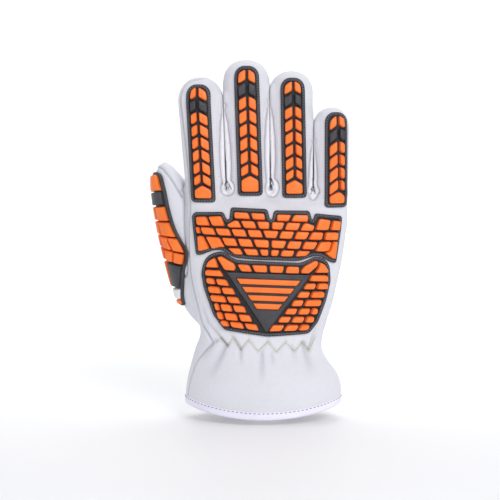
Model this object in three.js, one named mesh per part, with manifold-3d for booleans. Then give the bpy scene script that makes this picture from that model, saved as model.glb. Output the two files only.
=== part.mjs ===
// Right-hand leather work glove with moulded rubber impact guards, filled out as a hand fills it.
// Millimetres. +Z runs from the cuff to the fingertips, the back of the hand faces -Y and the
// thumb lies at -X. The origin is the middle of the cuff mouth, level with the hem's lowest point.

import * as THREE from "three";
import Module from "manifold-3d";

const wasm = await Module();
wasm.setup();

// Leather and seams
const WALL = 1.8;
const SEAM = 0.3;
const BODY_SIDES = 40;
const BODY_INNER_SIDES = 24;
const FINGER_SIDES = 12;
const FINGER_INNER_SIDES = 8;
const THUMB_SIDES = 12;
const THUMB_INNER_SIDES = 8;
const GATHERS = 10;
const HEM_TOP = 1.8;
const HEM_SIDE_LIFT = 8;
const HEM_PALM_LIFT = 2;
const HEM_BLEND = 36;

// Rubber guards, measured outwards from the leather
const GUARD_GAP = 0.5;
const BASE_TOP = 2;
const BLOCK_FOOT = 2.6;
const BLOCK_TOP = 5;
const TIE_FOOT = 2.75;
const TIE_TOP = 3.5;
const TIE_HALF = 0.7;
const TIE_REACH = 1.3;
const BLOCK_TAPER = 0.8;
const GROOVE = 0.45;
const GROOVE_FLOOR = 3.1;

// Hem, wrist, palm and knuckles: a row for each level. left and right are the side edges,
// front and back the depth towards the back of the hand and the palm, square the roundness of
// the section, gather the depth of the pleats and cup the hollow of the palm.
const BODY = [
  { z: 0, left: -57.3, right: 55.9, front: 38, back: 36, square: 2.0, gather: 0, cup: 0 },
  { z: 18, left: -56.4, right: 55.6, front: 37, back: 35, square: 2.0, gather: 0, cup: 0 },
  { z: 30, left: -54.9, right: 52.4, front: 34.5, back: 33, square: 2.0, gather: 0.5, cup: 0 },
  { z: 40, left: -53, right: 46.5, front: 31, back: 30, square: 2.1, gather: 1.3, cup: 0 },
  { z: 48, left: -51, right: 43.2, front: 27.5, back: 28, square: 2.1, gather: 1.6, cup: 0 },
  { z: 58, left: -47.2, right: 43.4, front: 25.5, back: 27, square: 2.2, gather: 0.7, cup: 0 },
  { z: 72, left: -48.2, right: 47, front: 25, back: 28, square: 2.4, gather: 0, cup: 1.5 },
  { z: 86, left: -51.5, right: 51, front: 24, back: 28, square: 2.5, gather: 0, cup: 4 },
  { z: 98, left: -54.3, right: 53.6, front: 23.5, back: 27, square: 2.6, gather: 0, cup: 5 },
  { z: 114, left: -56, right: 57, front: 22.5, back: 25, square: 2.6, gather: 0, cup: 5 },
  { z: 130, left: -56.5, right: 59.2, front: 21.5, back: 23, square: 2.6, gather: 0, cup: 3 },
  { z: 143, left: -56.5, right: 60.8, front: 20.5, back: 21.5, square: 2.6, gather: 0, cup: 1 },
  { z: 152, left: -56.2, right: 61, front: 18, back: 19, square: 2.6, gather: 0, cup: 0 },
  { z: 159, left: -53, right: 58, front: 11.5, back: 12, square: 2.5, gather: 0, cup: 0 },
];
const BODY_CROWN = { z: 162.5, x: 2, y: 0 };
const BODY_SHOULDER = 147;
const INNER_FOOT = -6;

// Fingers: centre line and half width at the root and below the rounded tip, half depths,
// height of the tip and length of its rounded part.
const FINGERS = [
  { name: "index", rootX: -43, topX: -46.6, rootHalf: 13, topHalf: 16, deep: 13.2, tip: 246.2, dome: 18 },
  { name: "middle", rootX: -13, topX: -13.1, rootHalf: 15.7, topHalf: 16.3, deep: 13.6, tip: 258.7, dome: 15.5 },
  { name: "ring", rootX: 20, topX: 20, rootHalf: 15.1, topHalf: 15.4, deep: 13.2, tip: 250.6, dome: 16 },
  { name: "little", rootX: 48.4, topX: 49.4, rootHalf: 12.2, topHalf: 12.8, deep: 12.6, tip: 224.3, dome: 15.5 },
];
const FINGER_ROOT = 138;
const FINGER_BASE = 152;
const FINGER_SQUARE = 2.3;
const FINGER_TAPER = 0.93;
const CURL = 4.5;
const CURL_SPAN = 106;

// Thumb and its ball, from the wrist up: middle of the section and its half width and half depth.
const THUMB = [
  { z: 62, x: -39, y: 10, wide: 7, deep: 8 },
  { z: 69, x: -38.7, y: 11.5, wide: 14.2, deep: 14.6 },
  { z: 81.5, x: -41.8, y: 13, wide: 19, deep: 20 },
  { z: 93.5, x: -46, y: 13.5, wide: 18.6, deep: 20 },
  { z: 104, x: -50.5, y: 13.5, wide: 17, deep: 18.5 },
  { z: 123, x: -57.7, y: 13, wide: 14.5, deep: 15.5 },
  { z: 145, x: -63, y: 13, wide: 13.6, deep: 13.9 },
  { z: 164, x: -66.4, y: 13.5, wide: 12.6, deep: 12.6 },
  { z: 171, x: -69, y: 14, wide: 10.7, deep: 11 },
  { z: 177.5, x: -71.6, y: 14.4, wide: 7.4, deep: 7.8 },
  { z: 182, x: -72.6, y: 14.7, wide: 3.9, deep: 4.2 },
];
const THUMB_HEEL = { z: 60.5, x: -39, y: 10 };
const THUMB_CROWN = { z: 184, x: -72.8, y: 14.8 };
const THUMB_SEAM_MARGIN = 1;
const THUMB_SEAM_POINT = [-57.1, 1.8, 152];
const THUMB_SEAM_NORMAL = [-0.764, -0.537, -0.357];

// Side seam between the back and the palm, a row for each level: y is its place on the thumb
// side, and outer and inner the places across between which it turns to the middle of the glove.
const SIDE_SEAM = [
  { z: -10, y: -14, outer: -34, inner: -20 },
  { z: 30, y: -15, outer: -34, inner: -20 },
  { z: 54, y: -17, outer: -30, inner: -18 },
  { z: 76, y: -14, outer: -34, inner: -20 },
  { z: 96, y: -9, outer: -36, inner: -24 },
  { z: 146, y: -7, outer: -46, inner: -35 },
  { z: 270, y: -5, outer: -48, inner: -36 },
];
const SEAM_MIDDLE = 0.6;

// Side strips between the fingers
const STRIP_FRONT = -3.6;
const STRIP_BACK = 7.4;
const STRIP_FOOT = 150;
const STRIP_BELOW_TIP = 13;

// Finger guards: half width, turn of the guard round its finger in degrees at the top and foot,
// levels of its ends, levels between which the block pairs lie, and their number.
const FINGER_GUARDS = {
  index: { half: 9, turnTop: -6, turnFoot: -9, top: 242, foot: 157, first: 240.5, last: 169, pairs: 8 },
  middle: { half: 9.4, turnTop: 2, turnFoot: 9, top: 255.5, foot: 162, first: 254, last: 175.5, pairs: 8 },
  ring: { half: 9.4, turnTop: 4, turnFoot: 9, top: 247, foot: 160.5, first: 245.5, last: 172.5, pairs: 8 },
  little: { half: 8.6, turnTop: 18, turnFoot: 20, top: 222, foot: 155, first: 220, last: 165.5, pairs: 6 },
};
const GUARD_ROUND = 9;
const GUARD_BORDER = 2.1;
const CHEVRON_RISE = 2;
const HOUSE_HEIGHT = 9;
const HOUSE_FOOT = 0.85;
const GREY_PAIR = 1;
const GUARD_TIE = 3.5;

// Knuckle guard: its outline, and its rows of blocks with the places of the grooves between them.
const KNUCKLE_OUTLINE = [
  [-53, 147], [-50.4, 149.3], [-31.7, 150.1], [-28.7, 147.5], [-26.9, 144.5], [-24.8, 150], [-22, 152.8],
  [0.4, 151.8], [3.4, 149], [4.8, 144.5], [6.8, 149], [9.4, 151], [31, 150.5], [34, 147.5], [35.2, 144.1],
  [36.9, 147.1], [39.3, 148.6], [54.2, 146.8], [57.2, 144], [54.6, 128.8], [52.7, 114.6], [50.5, 113.2],
  [39.3, 119.8], [26.6, 114.8], [3.4, 115.6], [-19, 117], [-31.7, 122.8], [-36.2, 124], [-42.9, 122.1],
  [-48.1, 119.1], [-50.4, 121.4],
];
// Knuckle guard's blocks in its own frame, across from its axis and up from its middle. A row
// gives the levels of its edges and the places of the grooves between its blocks.
const KNUCKLE_MIDDLE = [4.8, 132];
const KNUCKLE_ROWS = {
  index: { top: 13.4, foot: 6.6, grooves: [-54.6, -44.8, -34] },
  middle: { top: 17.6, foot: 11.8, grooves: [-27.8, -15.2, -4] },
  ring: { top: 17.4, foot: 11.8, grooves: [4, 15, 27.4] },
  little: { top: 13.2, foot: 6.6, grooves: [33, 43.2, 49.6] },
  second: { top: 11, foot: 5.2, grooves: [-31.4, -22, -10.8, 0, 10.4, 21.6, 31] },
  third: { top: 4.6, foot: -1.4, grooves: [-54.8, -52, -41, -29.2, -17.6, -6, 6, 17.2, 28.4, 39.6, 48.2] },
  fourth: { top: -2.2, foot: -8.4, grooves: [-53.6, -46.4, -35.2, -24.4, -12.4, 0, 12.2, 23.4, 34.6, 41.6, 46.8] },
  fifth: { top: -9.2, foot: -14, grooves: [-30.4, -19.8, -8, 0, 7.2, 18.4, 29] },
};
const KNUCKLE_TIES = [
  [-46.5, 5.6], [46, 5.6], [-19, 11.4], [19, 11.4], [-5, 4.9], [3, -1.8], [-5, -8.8],
];
const BLOCK_LEAN = 1.05;
const TILT = THREE.MathUtils.degToRad(2.2);

// Guard over the back of the hand, in its own frame. Its right half is given, and the left half
// mirrors it.
const BACK_MIDDLE = [1.8, 90];
const BACK_OUTLINE = [
  [0, 23.4], [20, 23.7], [26, 25.6], [34.5, 29.2], [40, 28.8], [45.4, 25], [47, 21], [47.4, 12.5], [45, 0],
  [38, -17.5], [31, -27], [0, -30.3],
];
const BACK_CORNERS = [
  [[24.5, 15.7], [24.5, 22.2], [33, 26], [36.4, 25.4], [36.4, 15.7]],
  [[37.6, 16.4], [37.6, 25.4], [41, 25.4], [44.4, 22.4], [45, 16.4]],
];
const BACK_TOP_ROW = { top: 20.9, foot: 15.5, grooves: [-23.4, -11.9, 0, 11.9, 23.4], lean: 0 };
const BACK_ROWS = [
  { top: 14.8, foot: 10.2, grooves: [32.6, 45], lean: 1 },
  { top: 9.2, foot: 4.4, grooves: [28.2, 37.8, 45], lean: 1 },
  { top: 3.4, foot: -1.8, grooves: [23.4, 33.2, 43.2], lean: 1 },
  { top: -2.8, foot: -8, grooves: [19, 28.8, 40.8], lean: 1 },
  { top: -9, foot: -14.2, grooves: [14.6, 24.2, 33.8, 38.6], lean: 1 },
  { top: -15.2, foot: -20.4, grooves: [10, 20, 30, 36], lean: 1.3 },
  { top: -21.4, foot: -26.4, grooves: [5.6, 15.6, 25.8, 31.6], lean: 1.6 },
];
const BACK_CORNER_TIES = [[24, 18.2], [37, 18.2]];
const BACK_UPRIGHT_TIES = [
  [39.4, 15.2], [35, 9.7], [31, 3.9], [26, -2.3], [22, -8.5], [17.5, -14.7], [13, -20.9],
];

// Three-cornered plain field in the middle of that guard, with the middles of its level ribs
const PLATE = { top: 13.6, half: 30.4, point: -26.4 };
const RIBS = [7.2, 1.6, -4, -9.6];
const RIB_HALF = 1.9;
const RIB_CLEAR = 4.6;

// Thumb guard: middle of the guard round the thumb in degrees from -X towards -Y and half width
// on the surface, a row for each level.
const THUMB_GUARD = [
  { z: 79.5, turn: 2, half: 9 },
  { z: 82, turn: 3, half: 11 },
  { z: 91, turn: 10, half: 12.5 },
  { z: 104, turn: 27, half: 13 },
  { z: 113, turn: 36, half: 13.2 },
  { z: 120, turn: 37, half: 13.2 },
  { z: 131, turn: 31, half: 12 },
  { z: 142, turn: 24, half: 11 },
  { z: 154, turn: 24, half: 10.4 },
  { z: 164, turn: 27, half: 9.4 },
  { z: 171, turn: 28, half: 7.4 },
  { z: 174.5, turn: 28, half: 4.5 },
];
const THUMB_ROWS = [
  { top: 172.6, foot: 164, blocks: 1, group: "end" },
  { top: 163, foot: 153.4, blocks: 1, group: "base" },
  { top: 152.4, foot: 143, blocks: 2, group: "field" },
  { top: 142, foot: 132, blocks: 2, group: "field" },
  { top: 131, foot: 121, blocks: 3, group: "field" },
  { top: 120, foot: 111.6, blocks: 3, group: "field" },
];
const THUMB_BORDER = 2;
const THUMB_GAP = 0.65;
const THUMB_TIE = 6.2;
const THUMB_TAB = { top: 91.6, foot: 84.6, top_height: 3.4 };
const THUMB_TOE = { top: 83.4, foot: 80.6, top_height: 3.6 };

// Binding folded over the hem
const BINDING = { sides: 36, gap: 0.45, innerGap: 1, thick: 1, height: 5 };

const MATERIALS = {
  leather: material(0xdedee6, 0.62),
  binding: material(0xe4dff0, 0.6),
  orange: material(0xff7a35, 0.5),
  grey: material(0x46464d, 0.6),
  tab: material(0xc9cbd2, 0.55),
};

function material(color, roughness) {
  return new THREE.MeshStandardMaterial({ color, roughness, metalness: 0 });
}

// Values of a table at a level, between its rows
function row(table, z) {
  const last = table.length - 1;
  if (z <= table[0].z) return { ...table[0], z };
  if (z >= table[last].z) return { ...table[last], z };
  const upper = table.findIndex((entry) => entry.z >= z);
  const [low, high] = [table[upper - 1], table[upper]];
  const share = (z - low.z) / (high.z - low.z);
  const mixed = {};
  for (const key of Object.keys(low)) mixed[key] = THREE.MathUtils.lerp(low[key], high[key], share);
  return mixed;
}

// Point of a unit superellipse
function rounded(angle, square) {
  const bend = (value) => Math.sign(value) * Math.abs(value) ** (2 / square);
  return [bend(Math.cos(angle)), bend(Math.sin(angle))];
}

function turn(index, count) {
  return (index / count) * 2 * Math.PI;
}

// Closed solid through rings of equal length. An end is closed by a point where one is given,
// and otherwise by a ladder between the two sides of its ring.
function loft(rings, start, end) {
  const count = rings[0].length;
  const points = rings.flat();
  const top = (rings.length - 1) * count;
  const faces = [];
  for (let side = 0; side < count; side++) {
    const next = (side + 1) % count;
    for (let level = 0; level < rings.length - 1; level++) {
      const [a, b] = [level * count, (level + 1) * count];
      faces.push([a + side, a + next, b + next], [a + side, b + next, b + side]);
    }
  }
  for (const [apex, offset, flip] of [[start, 0, true], [end, top, false]]) {
    const cap = apex ? fan(count, points.push(apex) - 1, offset) : ladder(count, offset);
    faces.push(...cap.map(([a, b, c]) => (flip ? [a, c, b] : [a, b, c])));
  }
  return solid(points, faces);
}

function fan(count, apex, offset) {
  return Array.from({ length: count }, (_, side) => [offset + side, offset + ((side + 1) % count), apex]);
}

function ladder(count, offset) {
  const faces = [];
  for (let low = 0, high = count - 1; low + 1 < high; low++, high--) {
    faces.push([offset + low, offset + low + 1, offset + high]);
    if (low + 1 < high - 1) faces.push([offset + low + 1, offset + high - 1, offset + high]);
  }
  return faces;
}

function middle(points) {
  return points[0].map((_, axis) => points.reduce((sum, point) => sum + point[axis], 0) / points.length);
}

function solid(points, faces) {
  const volume = faces.reduce((sum, [a, b, c]) => sum + triple(points[a], points[b], points[c]), 0);
  const facing = volume < 0 ? faces.map(([a, b, c]) => [a, c, b]) : faces;
  const vertProperties = new Float32Array(points.flat());
  const triVerts = new Uint32Array(facing.flat());
  return new wasm.Manifold(new wasm.Mesh({ numProp: 3, vertProperties, triVerts }));
}

function triple(a, b, c) {
  const cross = new THREE.Vector3(...b).cross(new THREE.Vector3(...c));
  return new THREE.Vector3(...a).dot(cross);
}

function join(solids) {
  return solids.reduce((sum, piece) => sum.add(piece));
}

function mesh(name, piece, finish) {
  const { vertProperties, triVerts } = piece.getMesh();
  const geometry = new THREE.BufferGeometry();
  geometry.setAttribute("position", new THREE.BufferAttribute(new Float32Array(vertProperties), 3));
  geometry.setIndex(new THREE.BufferAttribute(new Uint32Array(triVerts), 1));
  geometry.computeVertexNormals();
  const made = new THREE.Mesh(geometry, finish);
  made.name = name;
  return made;
}

// Height of the hem above its lowest point, round the cuff
function hemLift(angle) {
  const palm = Math.max(0, Math.sin(angle));
  return HEM_SIDE_LIFT * Math.cos(angle) ** 2 + HEM_PALM_LIFT * palm ** 2;
}

// Leather surface of hand, wrist and cuff at an angle round the section
function bodyPoint(angle, z, inset, pleated) {
  const section = row(BODY, z);
  const [across, deep] = rounded(angle, section.square);
  const halfWidth = (section.right - section.left) / 2 - inset;
  const depth = deep < 0 ? section.front : section.back;
  const pleat = pleated ? section.gather * Math.cos(GATHERS * angle) : 0;
  const x = (section.left + section.right) / 2 + across * (halfWidth + pleat);
  const cup = deep > 0 ? section.cup * deep * Math.exp(-((x / 16) ** 2)) : 0;
  return [x, deep * (depth - inset + pleat) - cup, z];
}

// Height on the glove of a level of the body table, with the hem's curve blended in
function liftedLevel(angle, z) {
  return z + (HEM_TOP + hemLift(angle)) * Math.max(0, 1 - z / HEM_BLEND);
}

function outerBody() {
  const rings = BODY.map(({ z }) => {
    return Array.from({ length: BODY_SIDES }, (_, side) => {
      const angle = turn(side, BODY_SIDES);
      const [x, y] = bodyPoint(angle, z, 0, true);
      return [x, y, liftedLevel(angle, z)];
    });
  });
  return loft(rings, middle(rings[0]), [BODY_CROWN.x, BODY_CROWN.y, BODY_CROWN.z]);
}

// Hollow inside, which runs out through the cuff mouth
function innerBody() {
  const ring = (z, place) => {
    return Array.from({ length: BODY_INNER_SIDES }, (_, side) => {
      const angle = turn(side, BODY_INNER_SIDES);
      const [x, y] = bodyPoint(angle, z, WALL + row(BODY, z).gather, false);
      return [x, y, place(angle)];
    });
  };
  const rings = BODY.map(({ z }) => ring(z, (angle) => liftedLevel(angle, z) - (z > BODY_SHOULDER ? WALL : 0)));
  rings.unshift(ring(0, () => INNER_FOOT));
  return loft(rings, middle(rings[0]), [BODY_CROWN.x, BODY_CROWN.y, BODY_CROWN.z - WALL - 1]);
}

function curl(z) {
  return (CURL * Math.max(0, z - FINGER_BASE)) / CURL_SPAN;
}

// Section of a finger at a level: its middle and half width and depth
function fingerSection(finger, z) {
  const shoulder = finger.tip - finger.dome;
  const share = THREE.MathUtils.clamp((z - FINGER_BASE) / (shoulder - FINGER_BASE), 0, 1);
  const climb = THREE.MathUtils.clamp((z - shoulder) / finger.dome, 0, 1);
  const shrink = (1 - climb ** 2.2) ** (1 / 2.2);
  return {
    x: THREE.MathUtils.lerp(finger.rootX, finger.topX, share),
    y: curl(z),
    wide: THREE.MathUtils.lerp(finger.rootHalf, finger.topHalf, share) * shrink,
    deep: finger.deep * THREE.MathUtils.lerp(1, FINGER_TAPER, share) * shrink,
  };
}

function fingerSolid(finger, inset, sides) {
  const shoulder = finger.tip - finger.dome;
  const steps = inset ? [0, 0.75] : [0, 0.5, 0.8, 0.95];
  const levels = [FINGER_ROOT - inset, FINGER_BASE, (FINGER_BASE + shoulder) / 2];
  levels.push(...steps.map((step) => shoulder + step * finger.dome));
  const rings = levels.map((z) => {
    const section = fingerSection(finger, z);
    return Array.from({ length: sides }, (_, side) => {
      const [across, deep] = rounded(turn(side, sides), FINGER_SQUARE);
      const wide = Math.max(section.wide - inset, 0.5);
      const thick = Math.max(section.deep - inset, 0.5);
      const drop = z > shoulder ? inset : 0;
      return [section.x + across * wide, section.y + deep * thick, z - drop];
    });
  });
  const end = [finger.topX, curl(finger.tip), finger.tip - inset];
  return loft(rings, middle(rings[0]), end);
}

function thumbSolid(inset, sides) {
  const rings = THUMB.map(({ z, x, y, wide, deep }) => {
    const lift = z > 170 ? -inset : 0;
    const foot = z < 70 ? inset : 0;
    return Array.from({ length: sides }, (_, side) => {
      const angle = turn(side, sides);
      const [halfWide, halfDeep] = [Math.max(wide - inset, 0.5), Math.max(deep - inset, 0.5)];
      return [x + Math.cos(angle) * halfWide, y + Math.sin(angle) * halfDeep, z + lift + foot];
    });
  });
  const start = [THUMB_HEEL.x, THUMB_HEEL.y, THUMB_HEEL.z + inset];
  return loft(rings, start, [THUMB_CROWN.x, THUMB_CROWN.y, THUMB_CROWN.z - inset]);
}

// Thin sheet along the side seam, to part the back of the glove from its palm
function seamSheet() {
  const rings = SIDE_SEAM.map(({ z, y, outer, inner }) => {
    const stops = [[-95, y], [outer, y], [(outer + inner) / 2, (y + SEAM_MIDDLE) / 2], [inner, SEAM_MIDDLE], [75, SEAM_MIDDLE]];
    const front = stops.map(([x, place]) => [x, place + curl(z), z]);
    const back = front.map(([px, py, pz]) => [px, py + SEAM, pz]).reverse();
    return [...front, ...back];
  });
  return loft(rings);
}

// Block of space that holds the side strip between two neighbouring fingers
function stripSpace(left, right, grow) {
  const top = Math.min(left.tip, right.tip) - STRIP_BELOW_TIP + grow;
  const levels = [STRIP_FOOT - grow, FINGER_BASE, top];
  const rings = levels.map((z) => {
    const [a, b] = [fingerSection(left, z).x, fingerSection(right, z).x];
    const [front, back] = [STRIP_FRONT - grow + curl(z), STRIP_BACK + grow + curl(z)];
    return [[a, front, z], [b, front, z], [b, back, z], [a, back, z]];
  });
  return loft(rings);
}

// Slab along the seam that parts the thumb's back from its front
function thumbSeamSlab() {
  const normal = new THREE.Vector3(...THUMB_SEAM_NORMAL).normalize();
  const along = new THREE.Vector3(0, 0, 1).cross(normal).normalize();
  const up = normal.clone().cross(along);
  const centre = new THREE.Vector3(...THUMB_SEAM_POINT);
  const corners = [[-60, -140], [60, -140], [60, 60], [-60, 60]];
  const rings = [0, SEAM].map((depth) => {
    return corners.map(([a, b]) => {
      const point = centre.clone().addScaledVector(along, a).addScaledVector(up, b);
      return point.addScaledVector(normal, depth).toArray();
    });
  });
  return loft(rings);
}

function biggest(piece, count) {
  const parts = piece.decompose();
  parts.sort((a, b) => b.volume() - a.volume());
  return parts.slice(0, count);
}

function frontFirst(parts) {
  return parts.sort((a, b) => a.boundingBox().min[1] - b.boundingBox().min[1]);
}

// All the leather: one hollow form, parted along its seams
function leatherPanels() {
  const fingers = (inset, sides) => FINGERS.map((finger) => fingerSolid(finger, inset, sides));
  const outer = join([outerBody(), ...fingers(0, FINGER_SIDES), thumbSolid(0, THUMB_SIDES)]);
  const inner = join([innerBody(), ...fingers(WALL, FINGER_INNER_SIDES), thumbSolid(WALL, THUMB_INNER_SIDES)]);
  const shell = outer.subtract(inner);
  const pairs = FINGERS.slice(1).map((finger, place) => [FINGERS[place], finger]);
  const strips = pairs.map(([left, right]) => biggest(shell.intersect(stripSpace(left, right, 0)), 1)[0]);
  let rest = shell.subtract(join(pairs.map(([left, right]) => stripSpace(left, right, SEAM))));
  const thumb = shell.intersect(thumbSolid(-THUMB_SEAM_MARGIN, THUMB_SIDES));
  rest = rest.subtract(thumbSolid(-THUMB_SEAM_MARGIN - SEAM, THUMB_SIDES)).subtract(seamSheet());
  const [back, palm] = frontFirst(biggest(rest, 2));
  const [thumbBack, thumbFront] = biggest(thumb.subtract(thumbSeamSlab()), 2);
  return [
    mesh("back_panel", back, MATERIALS.leather),
    mesh("palm_panel", palm, MATERIALS.leather),
    ...strips.map((strip, place) => {
      const [left, right] = pairs[place];
      return mesh(`fourchette_${left.name}_${right.name}`, strip, MATERIALS.leather);
    }),
    mesh("thumb_back", thumbBack, MATERIALS.leather),
    mesh("thumb_front", thumbFront, MATERIALS.leather),
  ];
}

// Tape folded over the hem, as a ring of folded section
function cuffBinding() {
  const { sides, gap, innerGap, thick, height } = BINDING;
  const outside = gap + thick;
  const inside = -WALL - innerGap - thick;
  const profile = [
    [outside, height], [outside, -outside], [inside, -outside], [inside, height],
    [inside + thick, height], [inside + thick, -gap], [gap, -gap], [gap, height],
  ];
  const points = [];
  for (let side = 0; side < sides; side++) {
    const angle = turn(side, sides);
    const edge = HEM_TOP + hemLift(angle);
    for (const [out, up] of profile) {
      const level = Math.max(0, up / (1 - edge / HEM_BLEND));
      const [x, y] = bodyPoint(angle, level, -out, false);
      points.push([x, y, edge + up + outside - HEM_TOP]);
    }
  }
  return mesh("cuff_binding", ringSolid(points, profile.length, sides), MATERIALS.binding);
}

function ringSolid(points, count, sides) {
  const faces = [];
  for (let side = 0; side < sides; side++) {
    const [a, b] = [side * count, ((side + 1) % sides) * count];
    for (let corner = 0; corner < count; corner++) {
      const next = (corner + 1) % count;
      faces.push([a + corner, b + corner, b + next], [a + corner, b + next, a + next]);
    }
  }
  return solid(points, faces);
}

// Surface point raised along the surface's own normal
function raised(surface, u, v, height) {
  const step = 0.05;
  const point = new THREE.Vector3(...surface(u, v));
  const across = new THREE.Vector3(...surface(u + step, v)).sub(new THREE.Vector3(...surface(u - step, v)));
  const along = new THREE.Vector3(...surface(u, v + step)).sub(new THREE.Vector3(...surface(u, v - step)));
  return point.addScaledVector(across.cross(along).normalize(), height).toArray();
}

// Outline drawn in towards its middle
function shrunk(outline, taper) {
  const centre = middle(outline);
  return outline.map((point) => {
    const reach = Math.hypot(point[0] - centre[0], point[1] - centre[1]);
    const keep = Math.max(0.3, 1 - taper / reach);
    return point.map((value, axis) => centre[axis] + (value - centre[axis]) * keep);
  });
}

// Raised block with sloping sides on a surface, from its outline
function block(surface, outline, foot, top, taper) {
  const low = outline.map(([u, v]) => raised(surface, u, v, foot));
  const high = shrunk(outline, taper).map(([u, v]) => raised(surface, u, v, top));
  return loft([low, high]);
}

// Row of blocks on a surface, moulded in one: each line gives the two ends of a groove, or of an
// end of the row, and the grooves' floors hold the blocks together.
function strip(surface, lines) {
  const points = [];
  const faces = [];
  const add = ([u, v], height) => points.push(raised(surface, u, v, height)) - 1;
  const polygon = (first, ...others) => {
    others.slice(1).forEach((corner, place) => faces.push([first, others[place], corner]));
  };
  const ends = lines.map((line) => {
    return { low: line.map((place) => add(place, BLOCK_FOOT)), floor: line.map((place) => add(place, GROOVE_FLOOR)) };
  });
  for (let place = 0; place + 1 < lines.length; place++) {
    const [here, next] = [ends[place], ends[place + 1]];
    const outline = [lines[place][0], lines[place + 1][0], lines[place + 1][1], lines[place][1]];
    const [a, b, c, d] = shrunk(outline, BLOCK_TAPER).map((corner) => add(corner, BLOCK_TOP));
    polygon(a, b, c, d);
    polygon(here.floor[0], a, d, here.floor[1]);
    polygon(next.floor[1], c, b, next.floor[0]);
    polygon(here.low[0], next.low[0], next.floor[0], b, a, here.floor[0]);
    polygon(next.low[1], here.low[1], here.floor[1], d, c, next.floor[1]);
    polygon(here.low[0], here.low[1], next.low[1], next.low[0]);
  }
  const [start, end] = [ends[0], ends.at(-1)];
  polygon(start.low[0], start.floor[0], start.floor[1], start.low[1]);
  polygon(end.low[1], end.floor[1], end.floor[0], end.low[0]);
  return solid(points, faces);
}

// Low tie across the groove at a place, level or upright
function levelTie(surface, u, v) {
  return tie(surface, [u, v], [TIE_REACH, 0], [0, TIE_HALF]);
}

function uprightTie(surface, u, v) {
  return tie(surface, [u, v], [0, TIE_REACH], [-TIE_HALF, 0]);
}

function tie(surface, [u, v], reach, half) {
  const rings = [-1, 1].map((end) => {
    const [a, b] = [u + end * reach[0], v + end * reach[1]];
    return [
      raised(surface, a - half[0], b - half[1], TIE_FOOT),
      raised(surface, a + half[0], b + half[1], TIE_FOOT),
      raised(surface, a, b, TIE_TOP),
    ];
  });
  return loft(rings);
}

// Plate that follows a surface between two heights: a row of stops across for each level
function plate(surface, levels, stopsAt, low, high) {
  const rings = levels.map((v) => {
    const stops = stopsAt(v);
    const under = stops.map((u) => raised(surface, u, v, low));
    const over = stops.map((u) => raised(surface, u, v, high)).reverse();
    return [...under, ...over];
  });
  return loft(rings);
}

// Back of a finger: u across on the surface from the guard's middle line, v the level
function fingerSurface(finger, guard) {
  return (u, v) => {
    const section = fingerSection(finger, v);
    const share = (guard.top - v) / (guard.top - guard.foot);
    const start = THREE.MathUtils.degToRad(THREE.MathUtils.lerp(guard.turnTop, guard.turnFoot, share));
    const angle = start + (2 * u) / (finger.topHalf + finger.deep);
    const [across, deep] = rounded(angle - Math.PI / 2, FINGER_SQUARE);
    return [section.x + across * section.wide, section.y + deep * section.deep, v];
  };
}

// Half width of a finger guard at a level, with its round top and eased foot
function guardHalf(guard, z) {
  const fromTop = THREE.MathUtils.clamp((guard.top - z) / GUARD_ROUND, 0, 1);
  const fromFoot = THREE.MathUtils.clamp((z - guard.foot) / 3, 0, 1);
  const top = Math.sqrt(Math.max(0.06, 1 - (1 - fromTop) ** 2));
  return guard.half * top * THREE.MathUtils.lerp(0.8, 1, Math.sqrt(fromFoot));
}

function fingerGuard(finger) {
  const guard = FINGER_GUARDS[finger.name];
  const surface = fingerSurface(finger, guard);
  const shoulder = finger.tip - finger.dome;
  const levels = [guard.foot, guard.foot + 3, (guard.foot + shoulder) / 2, shoulder - 3];
  levels.push(...[0.35, 0.6, 0.8, 0.93, 1].map((part) => THREE.MathUtils.lerp(shoulder - 3, guard.top, part)));
  const stops = (v) => [-1, -0.5, 0, 0.5, 1].map((part) => part * guardHalf(guard, v));
  const bases = [plate(surface, levels, stops, GUARD_GAP, BASE_TOP)];
  const pitch = (guard.first - guard.last) / guard.pairs;
  const level = (pair) => guard.first - pair * pitch - CHEVRON_RISE;
  const tips = [levelTie(surface, 0, level(0.5) + CHEVRON_RISE)];
  const tie = level(GREY_PAIR + 1.5) + CHEVRON_RISE;
  const blocks = [levelTie(surface, 0, tie), uprightTie(surface, GUARD_TIE, level(guard.pairs) + 1)];
  for (const side of [-1, 1]) {
    const edge = (v, drop) => {
      return [[side * GROOVE / 2, v + CHEVRON_RISE - drop], [side * (guardHalf(guard, v) - GUARD_BORDER), v - drop]];
    };
    for (const [pair, group, foot] of [[0, tips, BLOCK_FOOT], [GREY_PAIR, bases, 1]]) {
      const stops = stopsBetween(level(pair) - GROOVE, level(pair + 1) + GROOVE, 2).map((v) => edge(v, 0));
      const outline = [...stops.map(([inner]) => inner), ...stops.map(([, outer]) => outer).reverse()];
      group.push(block(surface, outline, foot, BLOCK_TOP, BLOCK_TAPER));
    }
    const lines = [];
    for (let pair = GREY_PAIR + 1; pair <= guard.pairs; pair++) {
      lines.push(edge(level(pair), pair === GREY_PAIR + 1 ? GROOVE : 0));
    }
    blocks.push(strip(surface, lines));
  }
  const top = level(guard.pairs) - GROOVE;
  const wide = guard.half - GUARD_BORDER;
  const foot = top - HOUSE_HEIGHT;
  const house = [
    [-wide, top], [0, top + CHEVRON_RISE], [wide, top],
    [wide * HOUSE_FOOT, foot], [0, foot], [-wide * HOUSE_FOOT, foot],
  ];
  blocks.push(block(surface, house, BLOCK_FOOT, BLOCK_TOP, BLOCK_TAPER));
  return [
    mesh(`${finger.name}_guard_base`, join(bases), MATERIALS.grey),
    mesh(`${finger.name}_guard_tip_blocks`, join(tips), MATERIALS.orange),
    mesh(`${finger.name}_guard_blocks`, join(blocks), MATERIALS.orange),
  ];
}

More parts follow.
